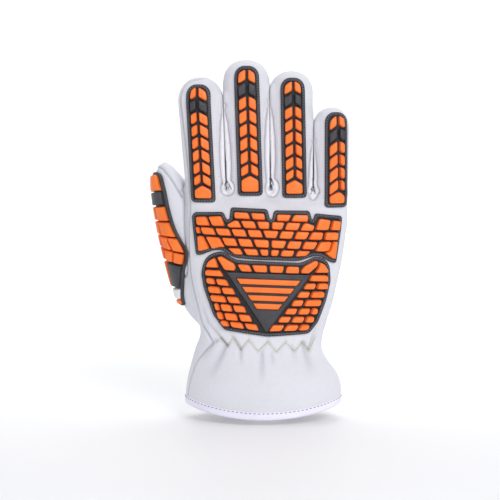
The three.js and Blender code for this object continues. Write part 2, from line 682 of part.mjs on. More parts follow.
// Back of the hand: u and v are the place across and the level
function handSurface(u, v) {
  const section = row(BODY, v);
  const halfWidth = (section.right - section.left) / 2;
  const share = Math.min(0.985, Math.abs(u - (section.left + section.right) / 2) / halfWidth);
  const depth = section.front + section.gather;
  return [u, -depth * (1 - share ** section.square) ** (1 / section.square), v];
}

// Upright wall of an outline, wide enough to reach through the back of the hand
function prism(outline) {
  const shape = new THREE.Shape(outline.map(([x, z]) => new THREE.Vector2(x, z)));
  const geometry = new THREE.ExtrudeGeometry(shape, { depth: 60, bevelEnabled: false });
  geometry.rotateX(Math.PI / 2);
  geometry.translate(0, 5, 0);
  const position = geometry.getAttribute("position");
  const points = [];
  const faces = [];
  const seen = new Map();
  for (let corner = 0; corner < position.count; corner++) {
    const point = [position.getX(corner), position.getY(corner), position.getZ(corner)];
    const key = point.map((value) => value.toFixed(4)).join(" ");
    if (!seen.has(key)) seen.set(key, points.push(point) - 1);
    if (corner % 3 === 0) faces.push([]);
    faces.at(-1).push(seen.get(key));
  }
  return solid(points, faces);
}

function stopsBetween(from, to, count) {
  return Array.from({ length: count + 1 }, (_, place) => THREE.MathUtils.lerp(from, to, place / count));
}

// Plate of an outline on the back of the hand. Its columns lie closer together at its ends, and
// its levels are those of the body table.
function handPlate(outline, columns) {
  const [xs, zs] = [outline.map((point) => point[0]), outline.map((point) => point[1])];
  const [left, right] = [Math.min(...xs) - 1, Math.max(...xs) + 1];
  const across = stopsBetween(-1, 1, columns).map((part) => {
    return THREE.MathUtils.mapLinear(part * (1.3 - 0.3 * part * part), -1, 1, left, right);
  });
  const [foot, top] = [Math.min(...zs) - 1, Math.max(...zs) + 1];
  const between = BODY.map(({ z }) => z).filter((z) => z > foot && z < top);
  const levels = [foot, ...between, top];
  return plate(handSurface, levels, () => across, GUARD_GAP, BASE_TOP).intersect(prism(outline));
}

// Blocks of one row. Its grooves lean outwards at the top.
function rowBlocks(surface, { top, foot, grooves, lean = BLOCK_LEAN }) {
  const lines = grooves.map((groove, place) => {
    const inward = place === 0 ? GROOVE : place + 1 === grooves.length ? -GROOVE : 0;
    const reach = lean * Math.sign(groove);
    return [[groove + inward + reach, top], [groove + inward - reach, foot]];
  });
  return strip(surface, lines);
}

// Frame of a hand guard on the back of the hand, turned by the guards' tilt
function tilted([middleX, middleZ]) {
  const [cos, sin] = [Math.cos(TILT), Math.sin(TILT)];
  return (s, t) => [middleX + s * cos + t * sin, middleZ - s * sin + t * cos];
}

function knuckleGuard() {
  const place = tilted(KNUCKLE_MIDDLE);
  const surface = (s, t) => handSurface(...place(s, t));
  const blocks = Object.values(KNUCKLE_ROWS).map((line) => rowBlocks(surface, line));
  blocks.push(...KNUCKLE_TIES.map(([s, t]) => uprightTie(surface, s, t)));
  return [
    mesh("knuckle_guard_base", handPlate(KNUCKLE_OUTLINE, 14), MATERIALS.grey),
    mesh("knuckle_guard_blocks", join(blocks), MATERIALS.orange),
  ];
}

const backPlace = tilted(BACK_MIDDLE);

function backSurface(s, t) {
  return handSurface(...backPlace(s, t));
}

function mirrored(outline) {
  return outline.map(([s, t]) => [-s, t]).reverse();
}

function backGuard() {
  const outline = [...BACK_OUTLINE, ...mirrored(BACK_OUTLINE).slice(1, -1)].map(([s, t]) => backPlace(s, t));
  const blocks = [rowBlocks(backSurface, BACK_TOP_ROW)];
  for (const side of [-1, 1]) {
    for (const line of BACK_ROWS) {
      const grooves = line.grooves.map((groove) => side * groove).sort((a, b) => a - b);
      blocks.push(rowBlocks(backSurface, { ...line, grooves }));
    }
    for (const corner of BACK_CORNERS) {
      const place = side > 0 ? corner : mirrored(corner);
      blocks.push(block(backSurface, place, BLOCK_FOOT, BLOCK_TOP, BLOCK_TAPER));
    }
    blocks.push(...BACK_CORNER_TIES.map(([s, t]) => levelTie(backSurface, side * s, t)));
    blocks.push(...BACK_UPRIGHT_TIES.map(([s, t]) => uprightTie(backSurface, side * s, t)));
  }
  return [
    mesh("back_guard_base", handPlate(outline, 12), MATERIALS.grey),
    mesh("back_guard_blocks", join(blocks), MATERIALS.orange),
    ...RIBS.map((level, place) => mesh(`back_guard_rib_${place + 1}`, rib(level), MATERIALS.orange)),
  ];
}

// Level rib on the plate, cut off along the plate's sloping sides
function rib(level) {
  const { top, half, point } = PLATE;
  const reach = (t) => (half * (t - point)) / (top - point) - RIB_CLEAR;
  const edge = (t) => stopsBetween(-reach(t), reach(t), 4).map((s) => [s, t]);
  const outline = [...edge(level + RIB_HALF), ...edge(level - RIB_HALF).reverse()];
  return block(backSurface, outline, BLOCK_FOOT, BLOCK_TOP - 1, BLOCK_TAPER);
}

// Outer side of the thumb: u across on the surface from the guard's middle line, v the level
function thumbSurface(u, v) {
  const section = row(THUMB, v);
  const start = THREE.MathUtils.degToRad(row(THUMB_GUARD, v).turn);
  const angle = start + (2 * u) / (section.wide + section.deep);
  return [section.x - section.wide * Math.cos(angle), section.y - section.deep * Math.sin(angle), v];
}

function thumbGuard() {
  const half = (z) => row(THUMB_GUARD, z).half;
  const bend = THUMB.map(({ z }) => z).filter((z) => z > THUMB_GUARD[0].z && z < THUMB_GUARD.at(-1).z);
  const levels = [...new Set([...THUMB_GUARD.map(({ z }) => z), ...bend])].sort((a, b) => a - b);
  const stops = (v) => [-1, -0.6, -0.2, 0.2, 0.6, 1].map((part) => part * half(v));
  const bases = [plate(thumbSurface, levels, stops, THUMB_GAP, BASE_TOP)];
  const groups = { base: bases, end: [], field: [] };
  for (const { top, foot, blocks: count, group } of THUMB_ROWS) {
    const groove = (place, z) => ((2 * place) / count - 1) * (half(z) - THUMB_BORDER);
    for (let place = 0; place < count; place++) {
      const edge = (z) => {
        const from = groove(place, z) + (place ? GROOVE : 0);
        const to = groove(place + 1, z) - (place + 1 < count ? GROOVE : 0);
        return stopsBetween(from, to, count > 1 ? 2 : 3).map((u) => [u, z]);
      };
      const outline = [...edge(top), ...edge(foot).reverse()];
      const low = group === "base" ? 1 : BLOCK_FOOT;
      groups[group].push(block(thumbSurface, outline, low, BLOCK_TOP, BLOCK_TAPER));
      const centre = (top + foot) / 2;
      if (place) groups[group].push(levelTie(thumbSurface, groove(place, centre), centre));
    }
  }
  const field = THUMB_ROWS.filter(({ group }) => group === "field");
  const links = field.slice(1).map(({ top }, place) => {
    return uprightTie(thumbSurface, THUMB_TIE, (top + field[place].foot) / 2);
  });
  return [
    mesh("thumb_guard_base", join(bases), MATERIALS.grey),
    mesh("thumb_guard_end_block", join(groups.end), MATERIALS.orange),
    mesh("thumb_guard_blocks", join([...groups.field, ...links]), MATERIALS.orange),
    mesh("thumb_guard_tab", thumbBand(THUMB_TAB), MATERIALS.tab),
    mesh("thumb_guard_toe", thumbBand(THUMB_TOE), MATERIALS.orange),
  ];
}

function thumbBand({ top, foot, top_height: height }) {
  const half = (z) => row(THUMB_GUARD, z).half - THUMB_BORDER;
  const edge = (z) => stopsBetween(-half(z), half(z), 4).map((u) => [u, z]);
  const outline = [...edge(top), ...edge(foot).reverse()];
  return block(thumbSurface, outline, BLOCK_FOOT, height, 0.4);
}

const glove = new THREE.Group();
glove.add(...leatherPanels());
glove.add(cuffBinding());
for (const finger of FINGERS) glove.add(...fingerGuard(finger));
glove.add(...knuckleGuard());
glove.add(...backGuard());
glove.add(...thumbGuard());

export default glove;
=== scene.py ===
# Right-hand leather work glove with moulded rubber impact guards, filled out as worn.
# The sections follow the glove as it is made: leather, seams, gathered wrist, bound hem, then the
# rubber guards one by one. Tables are in millimetres, and every mesh is made in metres.

import math

import bmesh
import bpy
import numpy as np
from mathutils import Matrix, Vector
from mathutils.bvhtree import BVHTree
from mathutils.kdtree import KDTree


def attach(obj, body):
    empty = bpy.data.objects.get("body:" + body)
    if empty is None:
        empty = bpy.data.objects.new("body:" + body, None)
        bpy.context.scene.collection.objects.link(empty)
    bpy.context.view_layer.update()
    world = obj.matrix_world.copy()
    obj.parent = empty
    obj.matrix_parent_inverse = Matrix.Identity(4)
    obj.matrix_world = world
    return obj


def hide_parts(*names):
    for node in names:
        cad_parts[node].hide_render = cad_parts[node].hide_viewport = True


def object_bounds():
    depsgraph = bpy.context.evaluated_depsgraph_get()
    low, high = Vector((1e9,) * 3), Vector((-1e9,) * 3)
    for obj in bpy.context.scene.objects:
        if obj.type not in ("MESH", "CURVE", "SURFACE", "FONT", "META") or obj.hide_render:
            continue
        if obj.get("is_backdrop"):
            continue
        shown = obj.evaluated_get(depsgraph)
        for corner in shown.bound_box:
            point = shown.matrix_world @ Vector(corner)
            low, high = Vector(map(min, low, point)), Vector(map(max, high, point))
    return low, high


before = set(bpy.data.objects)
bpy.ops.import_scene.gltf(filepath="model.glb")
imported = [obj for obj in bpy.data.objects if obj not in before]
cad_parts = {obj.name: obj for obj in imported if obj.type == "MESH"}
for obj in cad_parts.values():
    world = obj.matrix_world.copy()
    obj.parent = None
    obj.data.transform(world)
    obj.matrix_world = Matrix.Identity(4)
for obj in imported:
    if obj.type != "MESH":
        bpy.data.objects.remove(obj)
cad_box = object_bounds()


# Leather of the glove: soft grain leather about 1.6 mm thick, cut in panels and sewn inside out.
# The hand, four finger stalls and the thumb fill out as one closed form, open only at the cuff.

MM = 0.001
LEATHER_THICK = 1.6
LEATHER_GRID = 1.08

# z, left edge, right edge, depth to the back of the hand, depth to the palm, roundness, palm hollow
HAND = np.array([
    [0, -57.3, 55.9, 38.0, 36.0, 2.0, 0],
    [10, -57.2, 56.6, 37.6, 35.6, 2.0, 0],
    [20, -56.2, 55.6, 36.6, 34.8, 2.0, 0],
    [30, -54.9, 52.4, 34.5, 33.0, 2.0, 0],
    [40, -53.0, 46.5, 31.0, 30.0, 2.1, 0],
    [48, -51.0, 43.0, 27.8, 28.0, 2.1, 0],
    [58, -47.2, 43.4, 25.6, 27.0, 2.2, 0],
    [72, -48.2, 47.0, 25.0, 28.0, 2.4, 1.5],
    [86, -51.5, 51.0, 24.0, 28.0, 2.5, 4],
    [98, -54.3, 53.6, 23.5, 27.0, 2.6, 5],
    [114, -56.0, 57.0, 22.5, 25.0, 2.6, 5],
    [130, -56.5, 59.2, 21.5, 23.0, 2.6, 3],
    [143, -56.5, 60.8, 20.2, 21.5, 2.6, 1],
    [152, -56.2, 61.0, 17.6, 19.0, 2.6, 0],
    [157, -54.5, 59.6, 13.6, 14.5, 2.5, 0],
    [160, -51.0, 56.0, 9.0, 9.6, 2.4, 0],
])
HAND_TOP = 160.0
HAND_CROWN = 162.5
HOLLOW_WIDE = 16
HEM_TOP = 1.8
HEM_SIDE_LIFT = 8.0
HEM_PALM_LIFT = 2.0
HEM_BLEND = 36.0

# Finger: middle at the root and tip, half width at the root and tip, half depth, height, dome
FINGERS = {
    "index": (-41.7, -46.6, 14.3, 16.0, 13.2, 246.2, 18.0),
    "middle": (-11.0, -13.1, 15.2, 16.3, 13.6, 258.7, 15.5),
    "ring": (20.2, 20.0, 14.9, 15.4, 13.2, 250.6, 16.0),
    "little": (48.5, 49.4, 12.3, 12.8, 12.6, 224.3, 15.5),
}
FINGER_FOOT = 138.0
FINGER_BASE = 152.0
FINGER_SQUARE = 2.3
FINGER_THIN = 0.93
DOME_SQUARE = 2.2
CURL = 4.5
CURL_SPAN = 106.0
SPREAD = (-4.5, -1.5, 1.5, 4.5)
SPREAD_FOOT = 161.0
SPREAD_SPAN = 11.0
LEAST_SLIT = 0.2

# z, middle across, middle in depth, half width, half depth
THUMB = np.array([
    [60.5, -39.0, 10.0, 2.0, 2.0],
    [64, -39.0, 10.4, 8.6, 9.0],
    [69, -38.7, 11.5, 14.2, 14.6],
    [81.5, -41.8, 13.0, 19.0, 20.0],
    [93.5, -46.0, 13.5, 18.6, 20.0],
    [104, -50.5, 13.5, 17.0, 18.5],
    [123, -57.7, 13.0, 14.5, 15.5],
    [145, -63.0, 13.0, 13.6, 13.9],
    [164, -66.4, 13.5, 12.6, 12.6],
    [171, -69.0, 14.0, 10.7, 11.0],
    [177.5, -71.6, 14.4, 7.4, 7.8],
    [182, -72.6, 14.7, 3.9, 4.2],
    [184, -72.8, 14.8, 0.6, 0.6],
])


def along(table, level):
    """Columns of a table between its rows, on smooth curves"""
    levels, values = table[:, 0], table[:, 1:]
    slopes = np.gradient(values, levels, axis=0)
    level = np.clip(np.asarray(level, float), levels[0], levels[-1])
    upper = np.clip(np.searchsorted(levels, level), 1, len(levels) - 1)
    lower = upper - 1
    span = (levels[upper] - levels[lower])[..., None]
    t = (level - levels[lower])[..., None] / span
    rise = (3 - 2 * t) * t * t
    columns = (1 - rise) * values[lower] + rise * values[upper]
    columns = columns + (t - 1) * (t - 1) * t * slopes[lower] * span
    columns = columns + (t - 1) * t * t * slopes[upper] * span
    return np.moveaxis(columns, -1, 0)


def rounded(angle, square):
    """Unit outline between a circle and a square"""
    cos, sin = np.cos(angle), np.sin(angle)
    power = 2 / square
    return np.sign(cos) * np.abs(cos) ** power, np.sign(sin) * np.abs(sin) ** power


def hem_lift(angle):
    palm = np.maximum(0, np.sin(angle))
    return HEM_SIDE_LIFT * np.cos(angle) ** 2 + HEM_PALM_LIFT * palm**2


def hand_point(angle, level, out=0.0):
    left, right, front, back, square, hollow = along(HAND, level)
    across, deep = rounded(angle, square)
    depth = np.where(deep < 0, front, back) + out
    x = (left + right) / 2 + across * ((right - left) / 2 + out)
    y = deep * depth - hollow * np.maximum(0, deep) * np.exp(-((x / HOLLOW_WIDE) ** 2))
    return np.stack([x, y, level + 0 * x], axis=-1)


def curl(level):
    return CURL * np.maximum(0, level - FINGER_BASE) / CURL_SPAN


def finger_section(finger, level):
    root, top, root_half, top_half, deep, tip, dome = FINGERS[finger]
    shoulder = tip - dome
    share = np.clip((level - FINGER_BASE) / (shoulder - FINGER_BASE), 0, 1)
    climb = np.clip((level - shoulder) / dome, 0, 1)
    shrink = (1 - climb**DOME_SQUARE) ** (1 / DOME_SQUARE)
    wide = (root_half + (top_half - root_half) * share) * shrink
    thick = deep * (1 + (FINGER_THIN - 1) * share) * shrink
    return root + (top - root) * share, curl(level), wide, thick


def finger_point(finger, angle, level):
    x, y, wide, thick = finger_section(finger, level)
    across, deep = rounded(angle, FINGER_SQUARE)
    return np.stack([x + across * wide, y + deep * thick, level + 0 * angle], axis=-1)


def thumb_point(angle, level):
    x, y, wide, thick = along(THUMB, level)
    x, y = x + np.cos(angle) * wide, y + np.sin(angle) * thick
    return np.stack([x, y, level + 0 * angle], axis=-1)


def spread(points, way):
    """Fingers moved apart (way 1) or back again (way -1), so that each gets a skin of its own"""
    x, _, z = points.T
    climb = np.clip((z - SPREAD_FOOT) / SPREAD_SPAN, 0, 1)
    amount = climb * climb * (3 - 2 * climb)
    edges_left, edges_right = [], []
    for (finger, (*_, tip, dome)), shift in zip(FINGERS.items(), SPREAD):
        middle, _, wide, _ = finger_section(finger, np.minimum(z, tip - dome))
        moved = shift * amount if way < 0 else 0
        edges_left.append(middle - wide + moved)
        edges_right.append(middle + wide + moved)
    shift = SPREAD[0] + 0 * x
    for place in range(3):
        start, end = edges_right[place], edges_left[place + 1]
        share = np.clip((x - start) / np.maximum(LEAST_SLIT, end - start), 0, 1)
        shift += share * (SPREAD[place + 1] - SPREAD[place])
    moved = points.copy()
    moved[:, 0] += way * shift * amount
    return moved


def closed_loft(rings):
    """Points and faces of a closed form through a grid of rings"""
    count, sides = rings.shape[:2]
    points = np.concatenate([rings.reshape(-1, 3), rings[0].mean(0)[None], rings[-1].mean(0)[None]])
    faces = []
    for ring in range(count - 1):
        for side in range(sides):
            other = (side + 1) % sides
            a, b = ring * sides, (ring + 1) * sides
            faces.append((a + side, a + other, b + other, b + side))
    for side in range(sides):
        other = (side + 1) % sides
        last = (count - 1) * sides
        faces.append((side, count * sides, other))
        faces.append((last + side, last + other, count * sides + 1))
    return points, faces


def new_piece(name, points, faces):
    """Smooth mesh object from points in millimetres"""
    mesh = bpy.data.meshes.new(name)
    mesh.from_pydata((np.asarray(points) * MM).tolist(), [], [tuple(face) for face in faces])
    mesh.validate()
    mesh.shade_smooth()
    piece = bpy.data.objects.new(name, mesh)
    bpy.context.scene.collection.objects.link(piece)
    return piece


def ring_angles(sides):
    return np.linspace(0, 2 * math.pi, sides, endpoint=False)


HAND_SIDES = 160
HAND_STEP = 2.5
CROWN_LEVELS = [HAND_TOP, 161.2, 162, HAND_CROWN]
CROWN_LEAST = 0.02
FINGER_SIDES = 56
FINGER_STEP = 3
DOME_RINGS = 14
LAST_RING = 0.05
THUMB_START = THUMB[0, 0]
THUMB_LAST = 176
THUMB_TIP_LEVELS = [178, 180, 181.5, 182.5, 183.3, 183.9]


def leather_form():
    """Hand, fingers and thumb joined in one skin of small even faces"""
    forms = []
    angles = ring_angles(HAND_SIDES)
    rings = []
    for level in np.concatenate([np.arange(0, HAND_TOP, HAND_STEP), CROWN_LEVELS]):
        climb = max(0, level - HAND_TOP) / (HAND_CROWN - HAND_TOP)
        shrink = math.sqrt(max(CROWN_LEAST, 1 - climb**2))
        ring = hand_point(angles, min(level, HAND_TOP))
        ring[:, :2] = ring[:, :2].mean(0) + (ring[:, :2] - ring[:, :2].mean(0)) * shrink
        ring[:, 2] = level + (HEM_TOP + hem_lift(angles)) * max(0, 1 - level / HEM_BLEND)
        rings.append(ring)
    forms.append(closed_loft(np.array(rings)))
    angles = ring_angles(FINGER_SIDES)
    for finger, (*_, tip, dome) in FINGERS.items():
        shoulder = tip - dome
        rise = np.sin(np.linspace(0, math.pi / 2, DOME_RINGS)[1:-1])
        stall = np.arange(FINGER_FOOT, shoulder, FINGER_STEP)
        levels = np.concatenate([stall, shoulder + dome * rise, [tip - LAST_RING]])
        forms.append(closed_loft(np.array([finger_point(finger, angles, level) for level in levels])))
    levels = np.concatenate([np.arange(THUMB_START, THUMB_LAST, HAND_STEP), THUMB_TIP_LEVELS])
    forms.append(closed_loft(np.array([thumb_point(angles, level) for level in levels])))
    points, faces, start = [], [], 0
    for form_points, form_faces in forms:
        points.append(form_points)
        faces += [tuple(corner + start for corner in face) for face in form_faces]
        start += len(form_points)
    form = new_piece("leather_form", spread(np.concatenate(points), 1), faces)
    skin = form.modifiers.new("skin", "REMESH")
    skin.mode = "VOXEL"
    skin.voxel_size = LEATHER_GRID * MM
    return form


def final_mesh(piece):
    """Mesh of a piece with its modifiers used up"""
    depsgraph = bpy.context.evaluated_depsgraph_get()
    return bpy.data.meshes.new_from_object(piece.evaluated_get(depsgraph))


form = leather_form()
skin = final_mesh(form)
bpy.data.objects.remove(form)


def mesh_arrays(mesh):
    points = np.empty(len(mesh.vertices) * 3)
    mesh.vertices.foreach_get("co", points)
    edges = np.empty(len(mesh.edges) * 2, int)
    mesh.edges.foreach_get("vertices", edges)
    return points.reshape(-1, 3) / MM, edges.reshape(-1, 2)


def relaxed(points, edges, weight, rounds):
    """Points drawn towards the middle of their neighbours"""
    count = len(points)
    ends = np.concatenate([edges[:, 0], edges[:, 1]])
    others = np.concatenate([edges[:, 1], edges[:, 0]])
    degree = np.maximum(1, np.bincount(ends, minlength=count))
    for _ in range(rounds):
        sums = [np.bincount(ends, points[others, axis], count) for axis in range(3)]
        points = points + (np.stack(sums, axis=1) / degree[:, None] - points) * weight
    return points


HAND_REACH = 22
FINGER_REACH = 14
THUMB_REACH = 15
FAR_OFF = 40.0
UNDER_TIP = 0.5


def form_distances(points):
    """Rough distance of points from each of the joined forms, outside positive"""
    x, y, z = points.T
    left, right, front, back, square, _ = along(HAND, z)
    share_x = np.abs(x - (left + right) / 2) / ((right - left) / 2)
    share_y = np.abs(y) / np.where(y < 0, front, back)
    hand = ((share_x**square + share_y**square) ** (1 / square) - 1) * HAND_REACH
    hand = np.where(z > HAND_TOP - 2, np.maximum(hand, z - HAND_TOP), hand)
    found = [hand]
    for finger in FINGERS:
        below_tip = np.minimum(z, FINGERS[finger][5] - UNDER_TIP)
        mid_x, mid_y, wide, thick = finger_section(finger, below_tip)
        share_x, share_y = np.abs((x - mid_x) / wide), np.abs((y - mid_y) / thick)
        reach = (share_x**FINGER_SQUARE + share_y**FINGER_SQUARE) ** (1 / FINGER_SQUARE)
        found.append(np.where(z < FINGER_FOOT, FAR_OFF, (reach - 1) * FINGER_REACH))
    mid_x, mid_y, wide, thick = along(THUMB, z)
    reach = np.hypot((x - mid_x) / wide, (y - mid_y) / thick)
    beyond = (z < THUMB_START + 0.5) | (z > THUMB[-1, 0] - 1)
    found.append(np.where(beyond, FAR_OFF, (reach - 1) * THUMB_REACH))
    return np.array(found)


# Pushes in and out smooth the whole skin without shrinking it. Then the hollows where two forms
# join are rounded, up to JOINT_TOP and less and less over the last JOINT_FADE.
PUSHES = (0.5, -0.52) * 4
JOINT_WIDE = 3.2
JOINT_TOP = 174
JOINT_FADE = 8
JOINT_WEIGHT = 0.5
JOINT_ROUNDS = 48

points, edges = mesh_arrays(skin)
for push in PUSHES:
    points = relaxed(points, edges, push, 1)
nearest = np.sort(np.abs(form_distances(spread(points, -1))), axis=0)
joint = np.exp(-((nearest[0] ** 2 + nearest[1] ** 2) / (2 * JOINT_WIDE**2)))
joint *= np.clip((JOINT_TOP - points[:, 2]) / JOINT_FADE, 0, 1)
points = relaxed(points, edges, JOINT_WEIGHT * joint[:, None], JOINT_ROUNDS)
points = spread(points, -1)


SLIT_FOOT = 160.0
SLIT_GAP = 0.04
SLIT_REACH = 0.75
SLIT_BLEND = 5.0
LIP_FOOT = 163.0
LIP_BLEND = 3.0
LIP_WIDE = 6.2
# Shares of the finger's thickness: where the slit starts to open, where it is open, and where the
# lip has rolled back into the rounded finger
MOUTH_START = 0.3
LIP_START = 0.63
LIP_END = 0.8
MOUTH_OPEN = 0.36
MOUTH_LESS = 0.24
MOUTH_HIGH = 184.0
MOUTH_SPAN = 16.0
SLIT_CLOSING = 4
LIP_RISE = 6
WIDE_SLIT = 0.8


def eased(value, start, span):
    """0 below start, 1 from start + span on, with a smooth rise between"""
    share = np.clip((value - start) / span, 0, 1)
    return share * share * (3 - 2 * share)


def slit_between(left, right, points):
    """Distance from the middle of a slit, half its width, and the share of the finger's thickness"""
    x, y, z = points.T
    top = min(FINGERS[left][5], FINGERS[right][5]) - UNDER_TIP
    left_x, _, left_wide, left_thick = finger_section(left, np.minimum(z, top))
    right_x, _, right_wide, right_thick = finger_section(right, np.minimum(z, top))
    start, end = left_x + left_wide, right_x - right_wide
    from_slit = x - (start + end) / 2
    thick = np.where(from_slit < 0, left_thick, right_thick)
    return from_slit, (end - start) / 2, np.abs(y - curl(z)) / np.maximum(1, thick)


def pressed(points):
    """Fingers lie side by side: their sides meet flat at each slit, behind a rounded lip"""
    z = points[:, 2]
    move = np.zeros(len(points))
    for left, right in zip(list(FINGERS)[:-1], list(FINGERS)[1:]):
        top = min(FINGERS[left][5], FINGERS[right][5]) - UNDER_TIP
        from_slit, half_gap, deep = slit_between(left, right, points)
        side = np.sign(from_slit)
        below_top = np.clip((top - z) / SLIT_CLOSING, 0, 1)
        gap = np.clip(half_gap - SLIT_GAP, 0, SLIT_REACH) * below_top
        near = np.exp(-((from_slit / SLIT_BLEND) ** 2))
        closing = side * gap * near * eased(z, SLIT_FOOT, SLIT_CLOSING)
        beside = 1 - eased(np.abs(from_slit), LIP_WIDE - LIP_BLEND, LIP_BLEND)
        flat = (1 - eased(deep, LIP_START, LIP_END - LIP_START)) * eased(z, LIP_FOOT, LIP_RISE)
        flat *= beside * (1 - eased(half_gap, WIDE_SLIT, WIDE_SLIT))
        mouth = MOUTH_OPEN - MOUTH_LESS * eased(z, MOUTH_HIGH, MOUTH_SPAN)
        wall = SLIT_GAP + mouth * eased(deep, MOUTH_START, LIP_START - MOUTH_START)
        meeting = from_slit - side * wall
        move -= closing * (1 - flat) + meeting * flat
    moved = points.copy()
    moved[:, 0] += move
    return moved


points = pressed(points)


# Seams: the panels are sewn edge to edge and turned, so each joint is a narrow valley. Side strips
# run between the fingers and end in a small oval below each crotch. The thumb is set in whole.

SIDE_SEAM = np.array([
    [-20, -8.0, -34, -20],
    [10, -8.5, -34, -20],
    [24, -10.0, -34, -20],
    [37, -12.0, -34, -20],
    [45, -15.0, -32, -19],
    [54.4, -18.0, -30, -18],
    [66, -10.5, -33, -20],
    [76, -8.5, -34, -20],
    [96, -8.5, -36, -24],
    [146, -7.5, -46, -35],
    [180, -8.4, -47, -35.5],
    [215, -7.0, -48, -36],
    [270, -4.0, -48, -36],
])
SEAM_MIDDLE = 0.6
# Distance below the strip's upper end, and the share of the finger's thickness at which its front
# edge lies there. The edges close in on the slit towards the upper end.
STRIP_FRONT = np.array([
    [-20, -0.4],
    [0, -0.4],
    [5, -0.56],
    [12, -0.65],
    [24, -0.7],
    [40, -0.73],
    [55, -0.735],
    [75, -0.71],
    [95, -0.71],
])
STRIP_END = 9.0
STRIP_BACK = 7.4
STRIP_POINT = 5.0
STRIP_POINTED = 0.6
STRIP_FOOT = 150.0
FRONT_DEPTH = -1
# Oval end of each strip below its crotch: middle across, level, half width, half height
CROTCHES = {
    "index_middle": (-26.5, 166.4, 4.6, 5.4),
    "middle_ring": (5.7, 166.6, 4.7, 6.5),
    "ring_little": (35.5, 162.6, 2.9, 4.5),
}
THUMB_SEAM_POINT = np.array([-57.1, 1.8, 152.0])
THUMB_SEAM_NORMAL = np.array([-0.764, -0.537, -0.357])
# Levels, and how far the thumb's seam lies inside the thumb's own form at each
THUMB_DRAWN = [72, 92, 108], [1.6, 1.6, -1.0]
THUMB_FOOT = 61.5
HEM_CUT = 1.3


def stepped(table, level):
    """Columns of a table between its rows, on straight lines"""
    return [np.interp(level, table[:, 0], table[:, column]) for column in range(1, table.shape[1])]


def side_field(points):
    x, y, z = points.T
    front, outer, inner = stepped(SIDE_SEAM, z)
    share = np.clip((x - outer) / (inner - outer), 0, 1)
    return y - curl(z) - (front + (SEAM_MIDDLE - front) * share)


def strip_top(left, right):
    return min(FINGERS[left][5], FINGERS[right][5]) - STRIP_END


def strip_front(finger, level, top):
    """Depth of a strip's front edge on a finger"""
    return curl(level) + stepped(STRIP_FRONT, top - level)[0] * finger_section(finger, level)[3]


def strip_field(points, pair):
    """Below zero on the side strip between two fingers"""
    left, right = pair.split("_")
    x, y, z = points.T
    middle, level, wide, tall = CROTCHES[pair]
    low = finger_section(left, z)[0], finger_section(right, z)[0]
    top = strip_top(left, right)
    from_slit, _, _ = slit_between(left, right, points)
    level_here = np.minimum(z, top)
    depths = [strip_front(finger, level_here, top) - curl(level_here) for finger in (left, right)]
    front = np.where(from_slit < 0, *depths)
    narrow = np.clip((top - z) / STRIP_POINT, 0, 1) ** STRIP_POINTED
    centre = (STRIP_BACK + front) / 2
    half = (STRIP_BACK - front) / 2 * narrow
    band = np.abs(y - curl(z) - centre) - half
    foot = np.where(y < FRONT_DEPTH, level, STRIP_FOOT)
    band = np.maximum.reduce([band, foot - z, z - top, low[0] - x, x - low[1]])
    oval = (np.hypot((x - middle) / wide, (z - level) / tall) - 1) * wide
    oval = np.where(y < FRONT_DEPTH, oval, FAR_OFF)
    return np.minimum(band, oval)


def thumb_field(points):
    x, y, z = points.T
    mid_x, mid_y, wide, thick = along(THUMB, z)
    reach = (np.hypot((x - mid_x) / wide, (y - mid_y) / thick) - 1) * (wide + thick) / 2
    drawn = np.interp(z, *THUMB_DRAWN)
    return np.maximum(reach + drawn, THUMB_FOOT - z)


def thumb_halves(points):
    return (points - THUMB_SEAM_POINT) @ THUMB_SEAM_NORMAL


PANELS = [
    "back_panel", "palm_panel", "thumb_back", "thumb_front",
    "fourchette_index_middle", "fourchette_middle_ring", "fourchette_ring_little",
]
FIELDS = [side_field, thumb_halves, thumb_field]
FIELDS += [lambda points, pair=pair: strip_field(points, pair) for pair in CROTCHES]


def panel_of(points):
    """Number of the panel that each point lies on"""
    panel = np.where(side_field(points) < 0, 0, 1)
    in_thumb = thumb_field(points) < 0
    panel = np.where(in_thumb, np.where(thumb_halves(points) > 0, 2, 3), panel)
    for place, pair in enumerate(CROTCHES):
        panel = np.where(strip_field(points, pair) < 0, 4 + place, panel)
    return panel


def parting_field(first, second):
    """The field whose zero level parts two panels"""
    high = max(first, second)
    if high >= 4:
        return FIELDS[high - 1]
    if {first, second} == {2, 3}:
        return FIELDS[1]
    return FIELDS[2] if high >= 2 else FIELDS[0]


SLOPE_STEP = 0.05


def slope_of(field, points):
    steps = SLOPE_STEP * np.eye(3)
    sides = [field(points + step) - field(points - step) for step in steps]
    return np.stack(sides, axis=1) / (2 * SLOPE_STEP)


def normals_of(points, faces):
    """Vertex normals of a mesh"""
    normals = np.zeros_like(points)
    for size in {len(face) for face in faces}:
        corners = np.array([face for face in faces if len(face) == size])
        across = points[corners[:, 2 % size]] - points[corners[:, 0]]
        along_face = points[corners[:, 3 % size]] - points[corners[:, 1]]
        if size == 3:
            along_face = points[corners[:, 2]] - points[corners[:, 1]]
            across = points[corners[:, 1]] - points[corners[:, 0]]
        upright = np.cross(across, along_face)
        for corner in range(size):
            np.add.at(normals, corners[:, corner], upright)
    return normals / np.maximum(1e-9, np.linalg.norm(normals, axis=1))[:, None]


def hem_edge(points):
    """Level of the hem below each point"""
    left, right, front, back, *_ = HAND[0, 1:]
    x, y = points[:, 0] - (left + right) / 2, points[:, 1]
    angle = np.arctan2(y / np.where(y < 0, front, back), x / ((right - left) / 2))
    return HEM_TOP + hem_lift(angle)


# Faces with next to no size are dropped. Each face then takes the panel of most of its neighbours,
# so that no single face strays across a seam.
SMALLEST_FACE = 0.01
VOTES = 3
OWN_VOTES = 3.5

